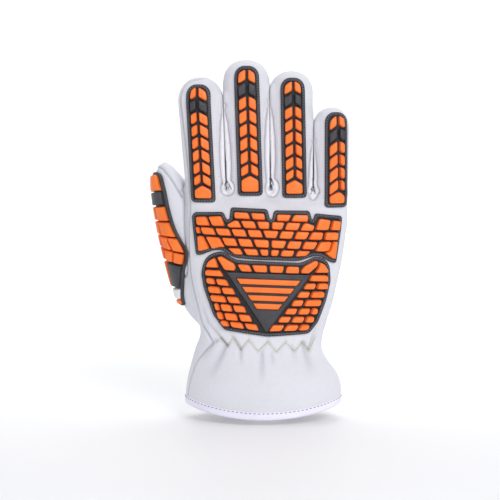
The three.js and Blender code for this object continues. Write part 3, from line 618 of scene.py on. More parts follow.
quads = np.empty(len(skin.polygons) * 4, int)
skin.polygons.foreach_get("vertices", quads)
quads = quads.reshape(-1, 4)
centres = points[quads].mean(1)
quads = quads[centres[:, 2] > hem_edge(centres) + HEM_CUT]
diagonals = points[quads[:, 2:]] - points[quads[:, :2]]
sizes = np.linalg.norm(np.cross(diagonals[:, 0], diagonals[:, 1]), axis=1)
quads = quads[sizes > SMALLEST_FACE]
labels = panel_of(points[quads].mean(1))
for _ in range(VOTES):
    votes = np.zeros((len(points), labels.max() + 1))
    for corner in range(4):
        np.add.at(votes, (quads[:, corner], labels), 1)
    votes = votes[quads].sum(1)
    votes[np.arange(len(quads)), labels] -= OWN_VOTES
    labels = votes.argmax(1)
touching = [set() for _ in points]
for quad, label in zip(quads, labels):
    for corner in quad:
        touching[corner].add(int(label))
normals = normals_of(points, quads)
meeting = {}
for vertex, found in enumerate(touching):
    if len(found) > 1:
        first, second = sorted(found)[-2:]
        meeting.setdefault((first, second), []).append(vertex)


LEAST_SLOPE = 0.15
LONGEST_MOVE = 0.5


def onto_seams(points):
    """Corners where panels meet, moved over the leather onto the seam between them"""
    for (first, second), members in meeting.items():
        field = parting_field(first, second)
        here = points[members]
        slope = slope_of(field, here)
        slope -= (slope * normals[members]).sum(1)[:, None] * normals[members]
        size = np.maximum(LEAST_SLOPE, (slope**2).sum(1))
        move = -(field(here) / size)[:, None] * slope
        length = np.maximum(1e-9, np.linalg.norm(move, axis=1))[:, None]
        points[members] = here + move * np.minimum(1, LONGEST_MOVE / length)


def evened(points, pairs, weight):
    """Points drawn over the leather towards the middle of the points they are paired with"""
    count = len(points)
    ends = np.concatenate([pairs[:, 0], pairs[:, 1]])
    others = np.concatenate([pairs[:, 1], pairs[:, 0]])
    degree = np.bincount(ends, minlength=count)[:, None]
    sums = [np.bincount(ends, points[others, axis], count) for axis in range(3)]
    middle = np.stack(sums, axis=1) / np.maximum(1, degree)
    move = (middle - points) * weight * (degree > 1)
    return points + move - (move * normals).sum(1)[:, None] * normals


# The seams are drawn out even, with the rings of faces beside them. A face that turns further from
# the leather than FOLDED, the cosine of an angle, is relaxed with the faces round it.
BESIDE_RINGS = 3
SNAP_ROUNDS = 4
EVEN_ROUNDS = 6
SEAM_WEIGHT = 0.35
BESIDE_WEIGHT = 0.5
FOLDED = 0.85
UNFOLD_ROUNDS = 4
UNFOLD_STEPS = 8

pairs = np.concatenate([quads[:, [side, (side + 1) % 4]] for side in range(4)])
pairs = np.unique(np.sort(pairs, axis=1), axis=0)
on_seam = np.array([len(found) > 1 for found in touching])
crossing = np.array([len(found) > 2 for found in touching])
beside = on_seam.copy()
for _ in range(BESIDE_RINGS):
    reached = pairs[beside[pairs].any(1)]
    beside[reached] = True
seam_pairs = pairs[on_seam[pairs].all(1)]
for _ in range(SNAP_ROUNDS):
    onto_seams(points)
for _ in range(EVEN_ROUNDS):
    points = evened(points, seam_pairs, SEAM_WEIGHT * (on_seam & ~crossing)[:, None])
    points = evened(points, pairs, BESIDE_WEIGHT * (beside & ~on_seam)[:, None])
    onto_seams(points)
for _ in range(UNFOLD_ROUNDS):
    corners = points[quads]
    upright = np.cross(corners[:, 2] - corners[:, 0], corners[:, 3] - corners[:, 1])
    upright /= np.maximum(1e-9, np.linalg.norm(upright, axis=1))[:, None]
    folded = (upright * normals[quads].mean(1)).sum(1) < FOLDED
    loose = np.zeros(len(points), bool)
    loose[quads[folded]] = True
    loose &= beside
    for _ in range(2):
        loose[pairs[loose[pairs].any(1)]] = True
    for _ in range(UNFOLD_STEPS):
        points = evened(points, pairs, BESIDE_WEIGHT * loose[:, None])


# Folds: the elastic sewn inside the wrist gathers the leather. Its zigzag thread pulls a shallow
# furrow, soft pleats fan out below it, and creases run up towards the thumb. A few short folds
# start in the crotches of the fingers.

ZIGZAG = np.array([
    [-35.2, 55.4], [-32.0, 58.1], [-26.5, 52.6], [-22.9, 58.6], [-17.1, 50.7], [-11.5, 57.0],
    [-4.4, 49.2], [2.6, 56.1], [8.7, 48.8], [15.4, 55.2], [22.2, 48.8], [27.7, 54.7],
    [33.1, 48.8], [37.3, 57.7],
])
# x and z of the start and end, half width at the start and end, depth
CROTCH_FOLDS = [
    (-26.9, 170.4, -28.8, 167.8, 0.55, 0.5, 2.4),
    (-26.9, 170.0, -23.8, 165.4, 0.6, 0.45, 2.4),
    (-25.6, 168.6, -26.0, 166.2, 0.4, 0.35, 1.2),
    (4.8, 172.6, 6.6, 168.6, 0.6, 0.5, 2.2),
    (5.0, 168.0, 5.6, 164.8, 0.5, 0.45, 2.0),
    (34.8, 165.4, 37.2, 162.2, 0.6, 0.5, 2.2),
    (35.0, 163.6, 33.8, 161.6, 0.45, 0.4, 1.2),
]
PLEATS = CROTCH_FOLDS + [
    (-28.4, 52.6, -39.8, 30.0, 1.5, 4.0, 1.7),
    (-17.1, 50.4, -17.4, 41.0, 1.1, 1.8, 1.5),
    (-1.6, 48.6, -2.4, 28.6, 1.2, 2.8, 1.5),
    (5.2, 48.2, 6.2, 39.0, 1.0, 1.8, 0.9),
    (20.4, 53.0, 22.4, 42.0, 1.1, 2.2, 0.9),
    (28.6, 54.5, 34.5, 34.0, 1.4, 3.6, 1.7),
    (-35.5, 56.0, -46.0, 42.0, 1.2, 2.6, 1.2),
    (-27.0, 52.9, -41.4, 68.6, 0.9, 1.2, 1.9),
    (-41.4, 68.6, -45.0, 80.0, 1.2, 1.2, 0.9),
    (-17.1, 50.9, -25.4, 62.6, 0.9, 1.3, 1.5),
    (33.1, 49.2, 37.8, 66.0, 1.0, 1.6, 1.5),
    (-11.5, 57.0, -10.6, 61.5, 0.8, 1.2, 0.5),
    (2.6, 56.1, 3.2, 60.5, 0.8, 1.2, 0.5),
    (15.4, 55.2, 15.0, 60.0, 0.8, 1.2, 0.5),
    (-57.0, 150.0, -55.0, 108.0, 1.0, 1.2, 0.3),
]


def segment_distance(places, start, end):
    """Distance of places from a line between two points, and how far along it they lie"""
    start, end = np.asarray(start, float), np.asarray(end, float)
    way = end - start
    share = np.clip(((places - start) @ way) / (way @ way), 0, 1)
    return np.linalg.norm(places - start - share[:, None] * way, axis=1), share


FRONT_FADE = 8
THREAD_DEPTH = 1.1
THREAD_WIDE = 1.0
PLEAT_FADE = 0.85
GATHER_LEVEL = 50
GATHER_WIDE = 11
GATHER_DEPTH = 0.8
GATHERS = 24
GATHER_FRONT = -14


def fold_depth(points):
    """How far the folds draw the leather in"""
    places = points[:, [0, 2]]
    front = np.clip(-points[:, 1] / FRONT_FADE, 0, 1)
    depth = np.zeros(len(points))
    thread = np.full(len(points), FAR_OFF)
    for start, end in zip(ZIGZAG[:-1], ZIGZAG[1:]):
        distance, _ = segment_distance(places, start, end)
        thread = np.minimum(thread, distance)
    depth += THREAD_DEPTH * np.exp(-((thread / THREAD_WIDE) ** 2)) * front
    for x0, z0, x1, z1, wide0, wide1, deep in PLEATS:
        distance, share = segment_distance(places, (x0, z0), (x1, z1))
        wide = wide0 + (wide1 - wide0) * share
        fade = 1 - share**2 * PLEAT_FADE
        depth += deep * fade * np.exp(-((distance / wide) ** 2)) * front
    gather = np.exp(-(((points[:, 2] - GATHER_LEVEL) / GATHER_WIDE) ** 2))
    waves = 1 + np.cos(GATHERS * np.arctan2(points[:, 1], points[:, 0]))
    depth += GATHER_DEPTH * gather * (1 - front) * waves * (points[:, 1] > GATHER_FRONT)
    return depth


# Corners this close together, in faces that lie on a seam with all four corners, become one
PINCH = 0.8

panels = bmesh.new()
corners = [panels.verts.new(point) for point in points]
for quad, label in zip(quads, labels):
    panels.faces.new([corners[corner] for corner in quad]).material_index = int(label)
pinched = np.unique(quads[on_seam[quads].all(1)])
bmesh.ops.remove_doubles(panels, verts=[corners[corner] for corner in pinched], dist=PINCH)
loose = [vertex for vertex in panels.verts if not vertex.link_faces]
bmesh.ops.delete(panels, geom=loose, context="VERTS")


def seam_tree(mesh):
    """Tree of points along every edge where two panels meet"""
    places = []
    for edge in mesh.edges:
        sides = {face.material_index for face in edge.link_faces}
        if len(sides) > 1:
            start, end = edge.verts[0].co, edge.verts[1].co
            places += [start.lerp(end, part) for part in (0.0, 0.25, 0.5, 0.75)]
    tree = KDTree(len(places))
    for number, place in enumerate(places):
        tree.insert(place, number)
    tree.balance()
    return tree


def fold_reach(places):
    """Distance of places from the nearest fold in a crotch"""
    spots = places[:, [0, 2]]
    lines = [segment_distance(spots, fold[:2], fold[2:4])[0] for fold in CROTCH_FOLDS]
    return np.where(places[:, 1] < 0, np.min(lines, axis=0), FAR_OFF)


def divided(mesh, chosen):
    """Splits the faces in between the corners that are chosen from their places"""
    mesh.verts.index_update()
    near = chosen(np.array([vertex.co[:] for vertex in mesh.verts]))
    split = [edge for edge in mesh.edges if near[edge.verts[0].index] and near[edge.verts[1].index]]
    bmesh.ops.subdivide_edges(mesh, edges=split, cuts=1, use_grid_fill=True)


def reach_of(tree, places):
    return np.array([tree.find(place)[2] for place in places])


# Depth at which the palm side starts, and how far from a seam or fold the faces are made finer
PALM_SIDE = 9.0
FINE_REACH = 2.0
PALM_FINE_REACH = 1.2
FOLD_FINE_REACH = 3.0
FOLD_FINEST_REACH = 1.8
seams = seam_tree(panels)


def near_seam(places):
    """True close to a seam, and less far from it on the palm side"""
    reach = np.where(places[:, 1] < PALM_SIDE, FINE_REACH, PALM_FINE_REACH)
    return reach_of(seams, places) < reach


divided(panels, lambda places: near_seam(places) | (fold_reach(places) < FOLD_FINE_REACH))
divided(panels, lambda places: fold_reach(places) < FOLD_FINEST_REACH)
panels.verts.index_update()
points = np.array([vertex.co[:] for vertex in panels.verts])
faces = [tuple(vertex.index for vertex in face.verts) for face in panels.faces]
labels = np.array([face.material_index for face in panels.faces])
panels.free()
smooth_points = points.copy()
smooth_normals = normals_of(points, faces)

# A seam draws the leather in along its own line and lets it swell a little on both sides, but not
# in the slits between the fingers
GROOVE_DEPTH = 0.95
GROOVE_WIDE = 0.85
SWELL = 0.22
SWELL_OFF = 2.1
SWELL_WIDE = 1.0
NO_GROOVE = 0.6
NO_GROOVE_FADE = 1.6
seam_reach = reach_of(seams, points)
swell = SWELL * np.exp(-(((seam_reach - SWELL_OFF) / SWELL_WIDE) ** 2))
groove = GROOVE_DEPTH * np.exp(-((seam_reach / GROOVE_WIDE) ** 2)) - swell
for left, right in zip(list(FINGERS)[:-1], list(FINGERS)[1:]):
    from_slit = np.abs(slit_between(left, right, points)[0])
    beside_slit = 1 - eased(from_slit, NO_GROOVE, NO_GROOVE_FADE)
    groove *= 1 - beside_slit * eased(points[:, 2], LIP_FOOT, LIP_RISE)
folds = fold_depth(points)
points = points - (groove + folds)[:, None] * smooth_normals
normals = normals_of(points, faces)

# Dirt along the seams, and painted shade that the shader lays in seams and folds, with darker painted
# shadow in the slits between fingers and along the short folds in the crotches
CREASE_WIDE = 0.8
FOLD_SHADE = 0.45
FOLD_LINE = 0.5
SLIT_SHADE = 0.5
SLIT_SHADE_FOOT = LIP_FOOT + 3
SLIT_DARK = 1.7
SLIT_LESS_DARK = 1.2
DARK_EARLY = 4
dirt_and_painted_shade = np.clip(np.exp(-((seam_reach / CREASE_WIDE) ** 2)) + FOLD_SHADE * folds, 0, 1)
level = smooth_points[:, 2]
lighter = SLIT_LESS_DARK * eased(level, MOUTH_HIGH - DARK_EARLY, MOUTH_SPAN + DARK_EARLY)
for left, right in zip(list(FINGERS)[:-1], list(FINGERS)[1:]):
    from_slit, _, deep = slit_between(left, right, smooth_points)
    inside = (np.abs(from_slit) < SLIT_SHADE) & (level > SLIT_SHADE_FOOT) & (deep > MOUTH_START)
    dirt_and_painted_shade = np.where(inside, SLIT_DARK - lighter, dirt_and_painted_shade)
fold_line = np.exp(-((fold_reach(smooth_points) / FOLD_LINE) ** 2))
dirt_and_painted_shade = np.maximum(dirt_and_painted_shade, SLIT_DARK * fold_line)


def leather_tree(points, faces):
    return BVHTree.FromPolygons([Vector(point) for point in points], faces)


leather_smooth = leather_tree(smooth_points, faces)
leather_skin = leather_tree(points, faces)


def panel_piece(name, label, material):
    """Closed panel of leather: the outside, the inside and the cut edge between them"""
    chosen = [face for face, number in zip(faces, labels) if number == label]
    used = sorted({corner for face in chosen for corner in face})
    renumber = {corner: place for place, corner in enumerate(used)}
    outer = [tuple(renumber[corner] for corner in face) for face in chosen]
    count = len(used)
    inner = [tuple(corner + count for corner in reversed(face)) for face in outer]
    sides = {}
    for face in outer:
        for start, end in zip(face, face[1:] + face[:1]):
            sides[(start, end)] = True
    open_sides = [(start, end) for start, end in sides if (end, start) not in sides]
    rim = [(end, start, start + count, end + count) for start, end in open_sides]
    outside = points[used]
    inside = outside - normals[used] * LEATHER_THICK
    piece = new_piece(name + "_leather", np.concatenate([outside, inside]), outer + inner + rim)
    # Dirt and painted shade of the seams, folds and slits, for the shader, on the outside and the
    # inside
    shade = piece.data.attributes.new("dirt_and_painted_shade", "FLOAT", "POINT")
    shade.data.foreach_set("value", np.tile(dirt_and_painted_shade[used], 2))
    piece.data.materials.append(material)
    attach(piece, "root")
    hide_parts(name)


class Shade:
    """Socket of a shader, with sums written out as they are on paper"""

    def __init__(self, tree, socket):
        self.tree = tree
        self.socket = socket

    def node(self, kind, settings=None, **inputs):
        made = self.tree.nodes.new(kind)
        for key, value in (settings or {}).items():
            setattr(made, key, value)
        for key, value in inputs.items():
            place = made.inputs[int(key[1:]) if key[0] == "_" else key.replace("_", " ")]
            if isinstance(value, Shade):
                self.tree.links.new(value.socket, place)
            else:
                place.default_value = value
        return made

    def sum(self, operation, *values):
        terms = {f"_{place}": value for place, value in enumerate(values)}
        made = self.node("ShaderNodeMath", {"operation": operation}, **terms)
        return Shade(self.tree, made.outputs[0])

    def __add__(self, other):
        return self.sum("ADD", self, other)

    def __mul__(self, other):
        return self.sum("MULTIPLY", self, other)

    __radd__ = __add__
    __rmul__ = __mul__

    def kept(self, low, high):
        """The value carried from low..high to 0..1"""
        settings = {"clamp": True}
        spans = {"From_Min": low, "From_Max": high}
        made = self.node("ShaderNodeMapRange", settings, Value=self, **spans)
        return Shade(self.tree, made.outputs[0])

    def mix(self, first, second):
        """Colour between two colours, by this value"""
        settings = {"data_type": "RGBA"}
        made = self.node("ShaderNodeMix", settings, _0=self, _6=first, _7=second)
        return Shade(self.tree, made.outputs[2])


def new_material(name):
    """Material, its shader and its place in the object"""
    made = bpy.data.materials.new(name)
    made.use_nodes = True
    tree = made.node_tree
    shader = tree.nodes["Principled BSDF"]
    start = Shade(tree, None)
    place = Shade(tree, start.node("ShaderNodeTexCoord").outputs["Object"])
    return made, shader, place


def noise(place, scale, detail=2.0):
    made = place.node("ShaderNodeTexNoise", Vector=place, Scale=scale, Detail=detail)
    return Shade(place.tree, made.outputs[0])


def bumped(place, height, strength, distance):
    made = place.node("ShaderNodeBump", Strength=strength, Distance=distance, Height=height)
    return Shade(place.tree, made.outputs[0])


def feed(shader, **inputs):
    for key, value in inputs.items():
        socket = shader.inputs[key.replace("_", " ")]
        if isinstance(value, Shade):
            value.tree.links.new(value.socket, socket)
        else:
            socket.default_value = value


# Features to the metre: pores of the grain, fine wear, shallow dimples, and soft clouds of tone
PORES = 1100.0
WEAR = 380.0
DIMPLES = 120.0
CLOUDS = 42.0
# Colour of the dirt and painted shade laid in seams, folds and slits
SHADE_COLOUR = (0.36, 0.36, 0.41, 1)


def leather_material(name, dark, light):
    made, shader, place = new_material(name)
    # Dirt along the seams, and painted shade in seams, folds and slits, darken the colour towards
    # SHADE_COLOUR
    mark = place.node("ShaderNodeAttribute", {"attribute_name": "dirt_and_painted_shade"}).outputs["Fac"]
    shade = Shade(place.tree, mark) * 0.55
    cells = place.node("ShaderNodeTexVoronoi", {"feature": "SMOOTH_F1"}, Vector=place, Scale=PORES)
    grain = Shade(place.tree, cells.outputs[0])
    cloud = noise(place, CLOUDS, 3.0)
    fine = noise(place, WEAR)
    plain = (cloud * 0.6 + fine * 0.4).kept(0.3, 0.7).mix(dark, light)
    feed(shader, Base_Color=shade.mix(plain, SHADE_COLOUR))
    feed(shader, Roughness=0.58 + 0.12 * cloud, Specular_IOR_Level=0.35)
    height = grain * 0.5 + fine * 0.6 + noise(place, DIMPLES) * 0.9
    feed(shader, Normal=bumped(place, height, 0.35, 0.0004))
    feed(shader, Sheen_Weight=0.08, Sheen_Roughness=0.5)
    return made


leather = leather_material("leather", (0.685, 0.685, 0.737, 1), (0.735, 0.735, 0.787, 1))
# A paler copy of the leather for the side strips: painted light that brightens them in the shade deep
# between the fingers
painted_light_strip_leather = leather_material("painted_light_strip_leather", (0.85, 0.85, 0.89, 1), (0.9, 0.9, 0.94, 1))
for label, name in enumerate(PANELS):
    panel_piece(name, label, painted_light_strip_leather if name.startswith("fourchette") else leather)


# Cuff binding: smooth woven tape that covers the raw hem all the way round the cuff. It is folded
# over the leather, inside and out, and sewn through once.

BINDING_SIDES = 240
# How far out from the leather, and how far up from the hem
BINDING_PROFILE = [
    (0.06, 4.5), (0.22, 4.35), (0.4, 3.8), (0.6, 2.6), (0.75, 1.2), (0.75, 0.1), (0.55, -0.8),
    (0.0, -1.4), (-0.8, -1.6), (-1.9, -1.4), (-2.6, -0.7), (-2.9, 0.4), (-2.9, 3.6), (-2.6, 4.2),
    (-2.1, 4.2), (-1.75, 3.4), (-1.75, 0.6), (-0.85, 0.0), (0.05, 0.6), (0.1, 3.4),
]


def binding_point(angle, out, up):
    edge = HEM_TOP + hem_lift(angle)
    level = np.maximum(0, up / (1 - edge / HEM_BLEND))
    point = hand_point(angle, level, out)
    point[..., 2] = edge + up
    return point


def binding_material():
    made, shader, place = new_material("binding")
    weave = noise(place, 700.0)
    tone = noise(place, 60.0).kept(0.3, 0.7)
    feed(shader, Base_Color=tone.mix((0.82, 0.79, 0.91, 1), (0.87, 0.84, 0.955, 1)))
    feed(shader, Roughness=0.55, Specular_IOR_Level=0.35)
    feed(shader, Normal=bumped(place, weave, 0.25, 0.0003))
    return made


angles = ring_angles(BINDING_SIDES)
bands = [binding_point(angles, out, up + 0 * angles) for out, up in BINDING_PROFILE]
rows = len(bands)
band_faces = []
for row in range(rows):
    for side in range(BINDING_SIDES):
        a, b = row * BINDING_SIDES, ((row + 1) % rows) * BINDING_SIDES
        other = (side + 1) % BINDING_SIDES
        band_faces.append((a + side, b + side, b + other, a + other))
binding = new_piece("cuff_binding_tape", np.concatenate(bands), band_faces)
binding.data.materials.append(binding_material())
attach(binding, "root")
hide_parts("cuff_binding")


# Finger guards: a rubber plate on the back of each finger, with a rim, a sunk field darkened with
# painted shade, and raised blocks in chevron pairs above a five-sided block. Each is sewn down
# through a groove in its rim.

SINK = 0.5
LONGEST_MITRE = 2.0
SIDE_PITCH = 2.2
ARC_PARTS = 4
CORNER_SHARE = 0.47
LEAST_ROUND = 0.25


def drawn_in(outline, inset):
    """Outline with its sides moved inwards"""
    outline = np.asarray(outline, float)
    ahead = np.roll(outline, -1, 0) - outline
    ahead /= np.linalg.norm(ahead, axis=1)[:, None]
    behind = np.roll(ahead, 1, 0)
    bisector = np.stack([-ahead[:, 1] - behind[:, 1], ahead[:, 0] + behind[:, 0]], axis=1)
    scale = np.minimum(LONGEST_MITRE, 2 / (bisector**2).sum(1))
    return outline + bisector * scale[:, None] * inset


def side_counts(outline, pitch):
    lengths = np.linalg.norm(np.roll(outline, -1, 0) - outline, axis=1)
    return np.maximum(1, np.round(lengths / pitch)).astype(int)


def softened(outline, radius, counts):
    """Outline with rounded corners and points along its sides"""
    after = np.roll(outline, -1, 0) - outline
    length = np.linalg.norm(after, axis=1)
    after = after / length[:, None]
    before = np.roll(after, 1, 0)
    shorter = np.minimum(length, np.roll(length, 1))
    cut = np.minimum(radius, CORNER_SHARE * shorter)[:, None]
    start, end = outline - before * cut, outline + after * cut
    points = []
    for corner in range(len(outline)):
        for part in np.linspace(0, 1, ARC_PARTS + 1):
            a, b, c = (1 - part) ** 2, 2 * part * (1 - part), part**2
            points.append(a * start[corner] + b * outline[corner] + c * end[corner])
        following = start[(corner + 1) % len(outline)]
        for part in np.arange(1, counts[corner]) / counts[corner]:
            points.append(end[corner] * (1 - part) + following * part)
    return np.array(points)


def anticlockwise(outline):
    outline = np.asarray(outline, float)
    x, y = outline.T
    turn = (x * np.roll(y, -1) - np.roll(x, -1) * y).sum()
    return outline if turn > 0 else outline[::-1]


def add_mould(flat, outline, profile, radius, marks=()):
    """Adds a moulded form to a flat mesh: rings of an outline, each drawn in and at its height.
    marks are the numbers of the rings above which the faces take the second material: near-black
    painted shade in the groove and the sunk field."""
    outline = anticlockwise(outline)
    counts = side_counts(outline, SIDE_PITCH)
    turn = np.roll(outline, -1, 0) - outline
    bend = np.cross(np.roll(turn, 1, 0), turn)
    rings = []
    for inset, height in profile:
        wider = np.where(bend > 0, np.maximum(LEAST_ROUND, radius - inset), radius + inset)
        ring = softened(drawn_in(outline, inset), wider, counts)
        rings.append([flat.verts.new((u, v, height)) for u, v in ring])
    for number, (low, high) in enumerate(zip(rings[:-1], rings[1:])):
        for place in range(len(low)):
            other = (place + 1) % len(low)
            face = flat.faces.new((low[place], low[other], high[other], high[place]))
            face.material_index = int(number in marks)
    flat.faces.new(rings[-1]).material_index = int(len(rings) - 1 in marks)
    flat.faces.new(rings[0][::-1])


def sliced(flat, across, upwards):
    """Cuts a flat mesh along even lines, so that it can bend with the surface"""
    for axis, step in ((0, across), (1, upwards)):
        places = [vertex.co[axis] for vertex in flat.verts]
        low, high = min(places), max(places)
        direction = Vector((1, 0, 0)) if axis == 0 else Vector((0, 1, 0))
        cuts = int((high - low) / step)
        for number in range(1, cuts + 1):
            everything = [*flat.verts, *flat.edges, *flat.faces]
            spot = direction * (low + number * (high - low) / (cuts + 1))
            plane = {"plane_co": spot, "plane_no": direction}
            bmesh.ops.bisect_plane(flat, geom=everything, dist=1e-4, **plane)


def normals_on(surface, u, v):
    across = surface(u + SLOPE_STEP, v) - surface(u - SLOPE_STEP, v)
    upwards = surface(u, v + SLOPE_STEP) - surface(u, v - SLOPE_STEP)
    normal = np.cross(across, upwards)
    return normal / np.linalg.norm(normal, axis=1)[:, None]


SEEN_ROUNDS = 24
SEEN_SHARE = 0.6


def as_seen(surface, outline, height):
    """Places on a surface for an outline that is to show at its x and z once it stands this high"""
    outline = np.asarray(outline, float)
    place = outline.copy()
    place[:, 0] -= surface(0 * place[:, 0], place[:, 1])[:, 0]
    for _ in range(SEEN_ROUNDS):
        u, v = place.T
        raised = surface(u, v) + normals_on(surface, u, v) * height
        place += SEEN_SHARE * (outline - raised[:, [0, 2]])
    return place


RAY_START = 9
RAY_LENGTH = 16


def laid_on(surface, places):
    """Points of a flat mesh laid on a surface, and on the leather that covers it"""
    u, v, height = places.T
    base = surface(u, v)
    normal = normals_on(surface, u, v)
    laid = []
    for spot, out, rise in zip(base, normal, height):
        hit = leather_smooth.ray_cast(Vector(spot + RAY_START * out), Vector(-out), RAY_LENGTH)[0]
        ground = np.array(hit) if hit is not None else spot
        laid.append(ground + out * rise)
    return np.array(laid), normal


SHARP = math.radians(32)


def moulded_piece(name, flat, surface, materials, across=2.5, upwards=3.0):
    """Piece of moulded rubber from a flat mesh, bent on to a surface"""
    sliced(flat, across, upwards)
    flat.verts.index_update()
    places = np.array([vertex.co[:] for vertex in flat.verts])
    flat_faces = [tuple(vertex.index for vertex in face.verts) for face in flat.faces]
    marks = [face.material_index for face in flat.faces]
    flat.free()
    laid, _ = laid_on(surface, places)
    piece = new_piece(name, laid, flat_faces)
    piece.data.polygons.foreach_set("material_index", marks)
    piece.data.set_sharp_from_angle(angle=SHARP)
    for material in materials:
        piece.data.materials.append(material)
    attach(piece, "root")
    return piece


def rubber_material(name, dark, light, roughness):
    made, shader, place = new_material(name)
    cloud = noise(place, 90.0)
    fine = noise(place, 1500.0)
    feed(shader, Base_Color=cloud.kept(0.35, 0.65).mix(dark, light))
    feed(shader, Roughness=roughness + 0.08 * fine, Specular_IOR_Level=0.45)
    feed(shader, Normal=bumped(place, fine + 0.8 * noise(place, 260.0), 0.18, 0.0002))
    return made


GREYS = (0.039, 0.038, 0.045, 1), (0.054, 0.053, 0.062, 1)
# Near-black rubber: painted shade in the rims' grooves and sunk fields, and the frames round the ribs
SHADE_AND_FRAME_GREYS = (0.006, 0.0065, 0.011, 1), (0.011, 0.012, 0.018, 1)
ORANGES = (0.96, 0.185, 0.02, 1), (0.98, 0.21, 0.026, 1)
grey_rubber = rubber_material("grey_rubber", *GREYS, 0.46)
painted_shade_and_frame_rubber = rubber_material("painted_shade_and_frame_rubber", *SHADE_AND_FRAME_GREYS, 0.55)
orange_rubber = rubber_material("orange_rubber", *ORANGES, 0.4)

# How far inside the outline, and height: the plate's rim with its sewing groove, and a raised
# block. The set after them lists the rings of the rim above which the rubber is near black, painted
# shade in the sewing groove and down into the sunk field.
RIM_PROFILE = [
    (0.1, -SINK), (0.0, 0.3), (0.0, 1.0), (0.2, 1.45), (0.55, 1.7), (0.95, 1.73), (1.08, 1.45),
    (1.42, 1.45), (1.55, 1.73), (2.3, 1.68), (2.5, 1.35), (2.62, 0.85),
]
RIM_PAINTED_SHADE = {6, 10, 11}
BLOCK_PROFILE = [
    (-0.16, 0.6), (-0.1, 1.2), (0.04, 3.2), (0.16, 3.8), (0.4, 4.22), (0.8, 4.42),
]
SEWN_INSET = 1.23

# Heights at which the outlines of rims and blocks are drawn
RIM_SEEN = 1.0
BLOCK_SEEN = 4.3
BLOCK_ROUND = 1.5

# Half width, middle of the guard at its top and foot from the finger's own middle, top and foot,
# peaks of the first and last pair of blocks, peak of the five-sided block, pairs, groove between
# the columns at the top and foot, and width of the border left and right
FINGER_GUARDS = {
    "index": (8.95, -0.8, -1.9, 241.6, 156.1, 239.6, 176.7, 168.6, 8, -1.1, -0.6, 2.7, 2.7),
    "middle": (9.1, 0.4, 1.3, 255.0, 160.9, 252.6, 184.1, 175.7, 8, 0.1, 0.1, 2.7, 2.7),
    "ring": (8.9, 0.5, 1.9, 246.4, 159.4, 244.1, 180.4, 172.6, 8, 0.5, 0.6, 2.7, 2.7),
    "little": (8.2, 2.6, 3.6, 221.5, 152.4, 219.2, 172.6, 164.0, 6, 1.4, 2.9, 3.4, 1.5),
}
GUARD_ROUND = 8.6
GUARD_CORNER = 2.4
# Distances below the top at which the round end of a guard has its corners
END_DROPS = GUARD_ROUND * np.array([0.035, 0.13, 0.28, 0.5, 0.78])
END_FULL = 2.3
END_ROOT = 2.1
COLUMN_GAP = 2.0
ROW_GAP = 2.0
CHEVRON_RISE = 3.4
HOUSE_FOOT = 3.1
# Blocks under the round end of a guard lose their outer corner
CUT_DROP = 0.4
CUT_SHARE = 0.45
# The second pair of blocks from the fingertip is grey
GREY_PAIR = 1
WIDEST = 0.985
ROUND_STATIONS = np.linspace(-0.998, 0.998, 1200)
BELOW_TIP = 0.6


def finger_surface(finger):
    """Back of a finger: u is the way round from its middle line, v the level"""
    top, foot = FINGER_GUARDS[finger][3:5]
    tip = FINGERS[finger][5]
    _, _, wide, thick = finger_section(finger, (top + foot) / 2)
    across = ROUND_STATIONS
    depth = (1 - np.abs(across) ** FINGER_SQUARE) ** (1 / FINGER_SQUARE)
    steps = np.hypot(np.diff(across) * wide, np.diff(depth) * thick)
    way = np.concatenate([[0], np.cumsum(steps)])
    way -= np.interp(0, across, way)

    def surface(u, v):
        x, y, half, deep = finger_section(finger, np.minimum(v, tip - BELOW_TIP))
        share = np.clip(np.interp(u, way, across * wide) / half, -WIDEST, WIDEST)
        front = (1 - np.abs(share) ** FINGER_SQUARE) ** (1 / FINGER_SQUARE)
        return np.stack([x + share * half, y - front * deep, v + 0 * u], axis=-1)

    return surface


def guard_half(finger, level, inset=0.0):
    """Half width of a finger guard at a level, round at its top"""
    half, _, _, top, *_ = FINGER_GUARDS[finger]
    rise = np.clip((top - inset - level) / (GUARD_ROUND - inset), 0, 1)
    return (half - inset) * (1 - (1 - rise) ** END_FULL) ** (1 / END_ROOT)


def guard_places(finger, outline):
    """x and z of an outline that is given from the guard's own middle line"""
    _, middle_top, middle_foot, top, foot, *_ = FINGER_GUARDS[finger]
    placed = []
    for u, level in outline:
        middle = middle_top + (middle_foot - middle_top) * (top - level) / (top - foot)
        low = min(level, FINGERS[finger][5] - 1)
        placed.append((finger_section(finger, low)[0] + middle + u, level))
    return placed


def guard_outline(finger):
    half, _, _, top, foot, *_ = FINGER_GUARDS[finger]
    right = [(guard_half(finger, top - drop), top - drop) for drop in END_DROPS]
    right += [(half, top - GUARD_ROUND - 2), (half, foot + GUARD_CORNER)]
    right += [(half - 0.7, foot + 0.7), (half - GUARD_CORNER, foot)]
    return [(-u, v) for u, v in right] + [(u, v) for u, v in right[::-1]]


def groove_at(finger, level):
    first, _, house, _, groove_top, groove_foot = FINGER_GUARDS[finger][5:11]
    return float(np.interp(level, [house, first], [groove_foot, groove_top]))


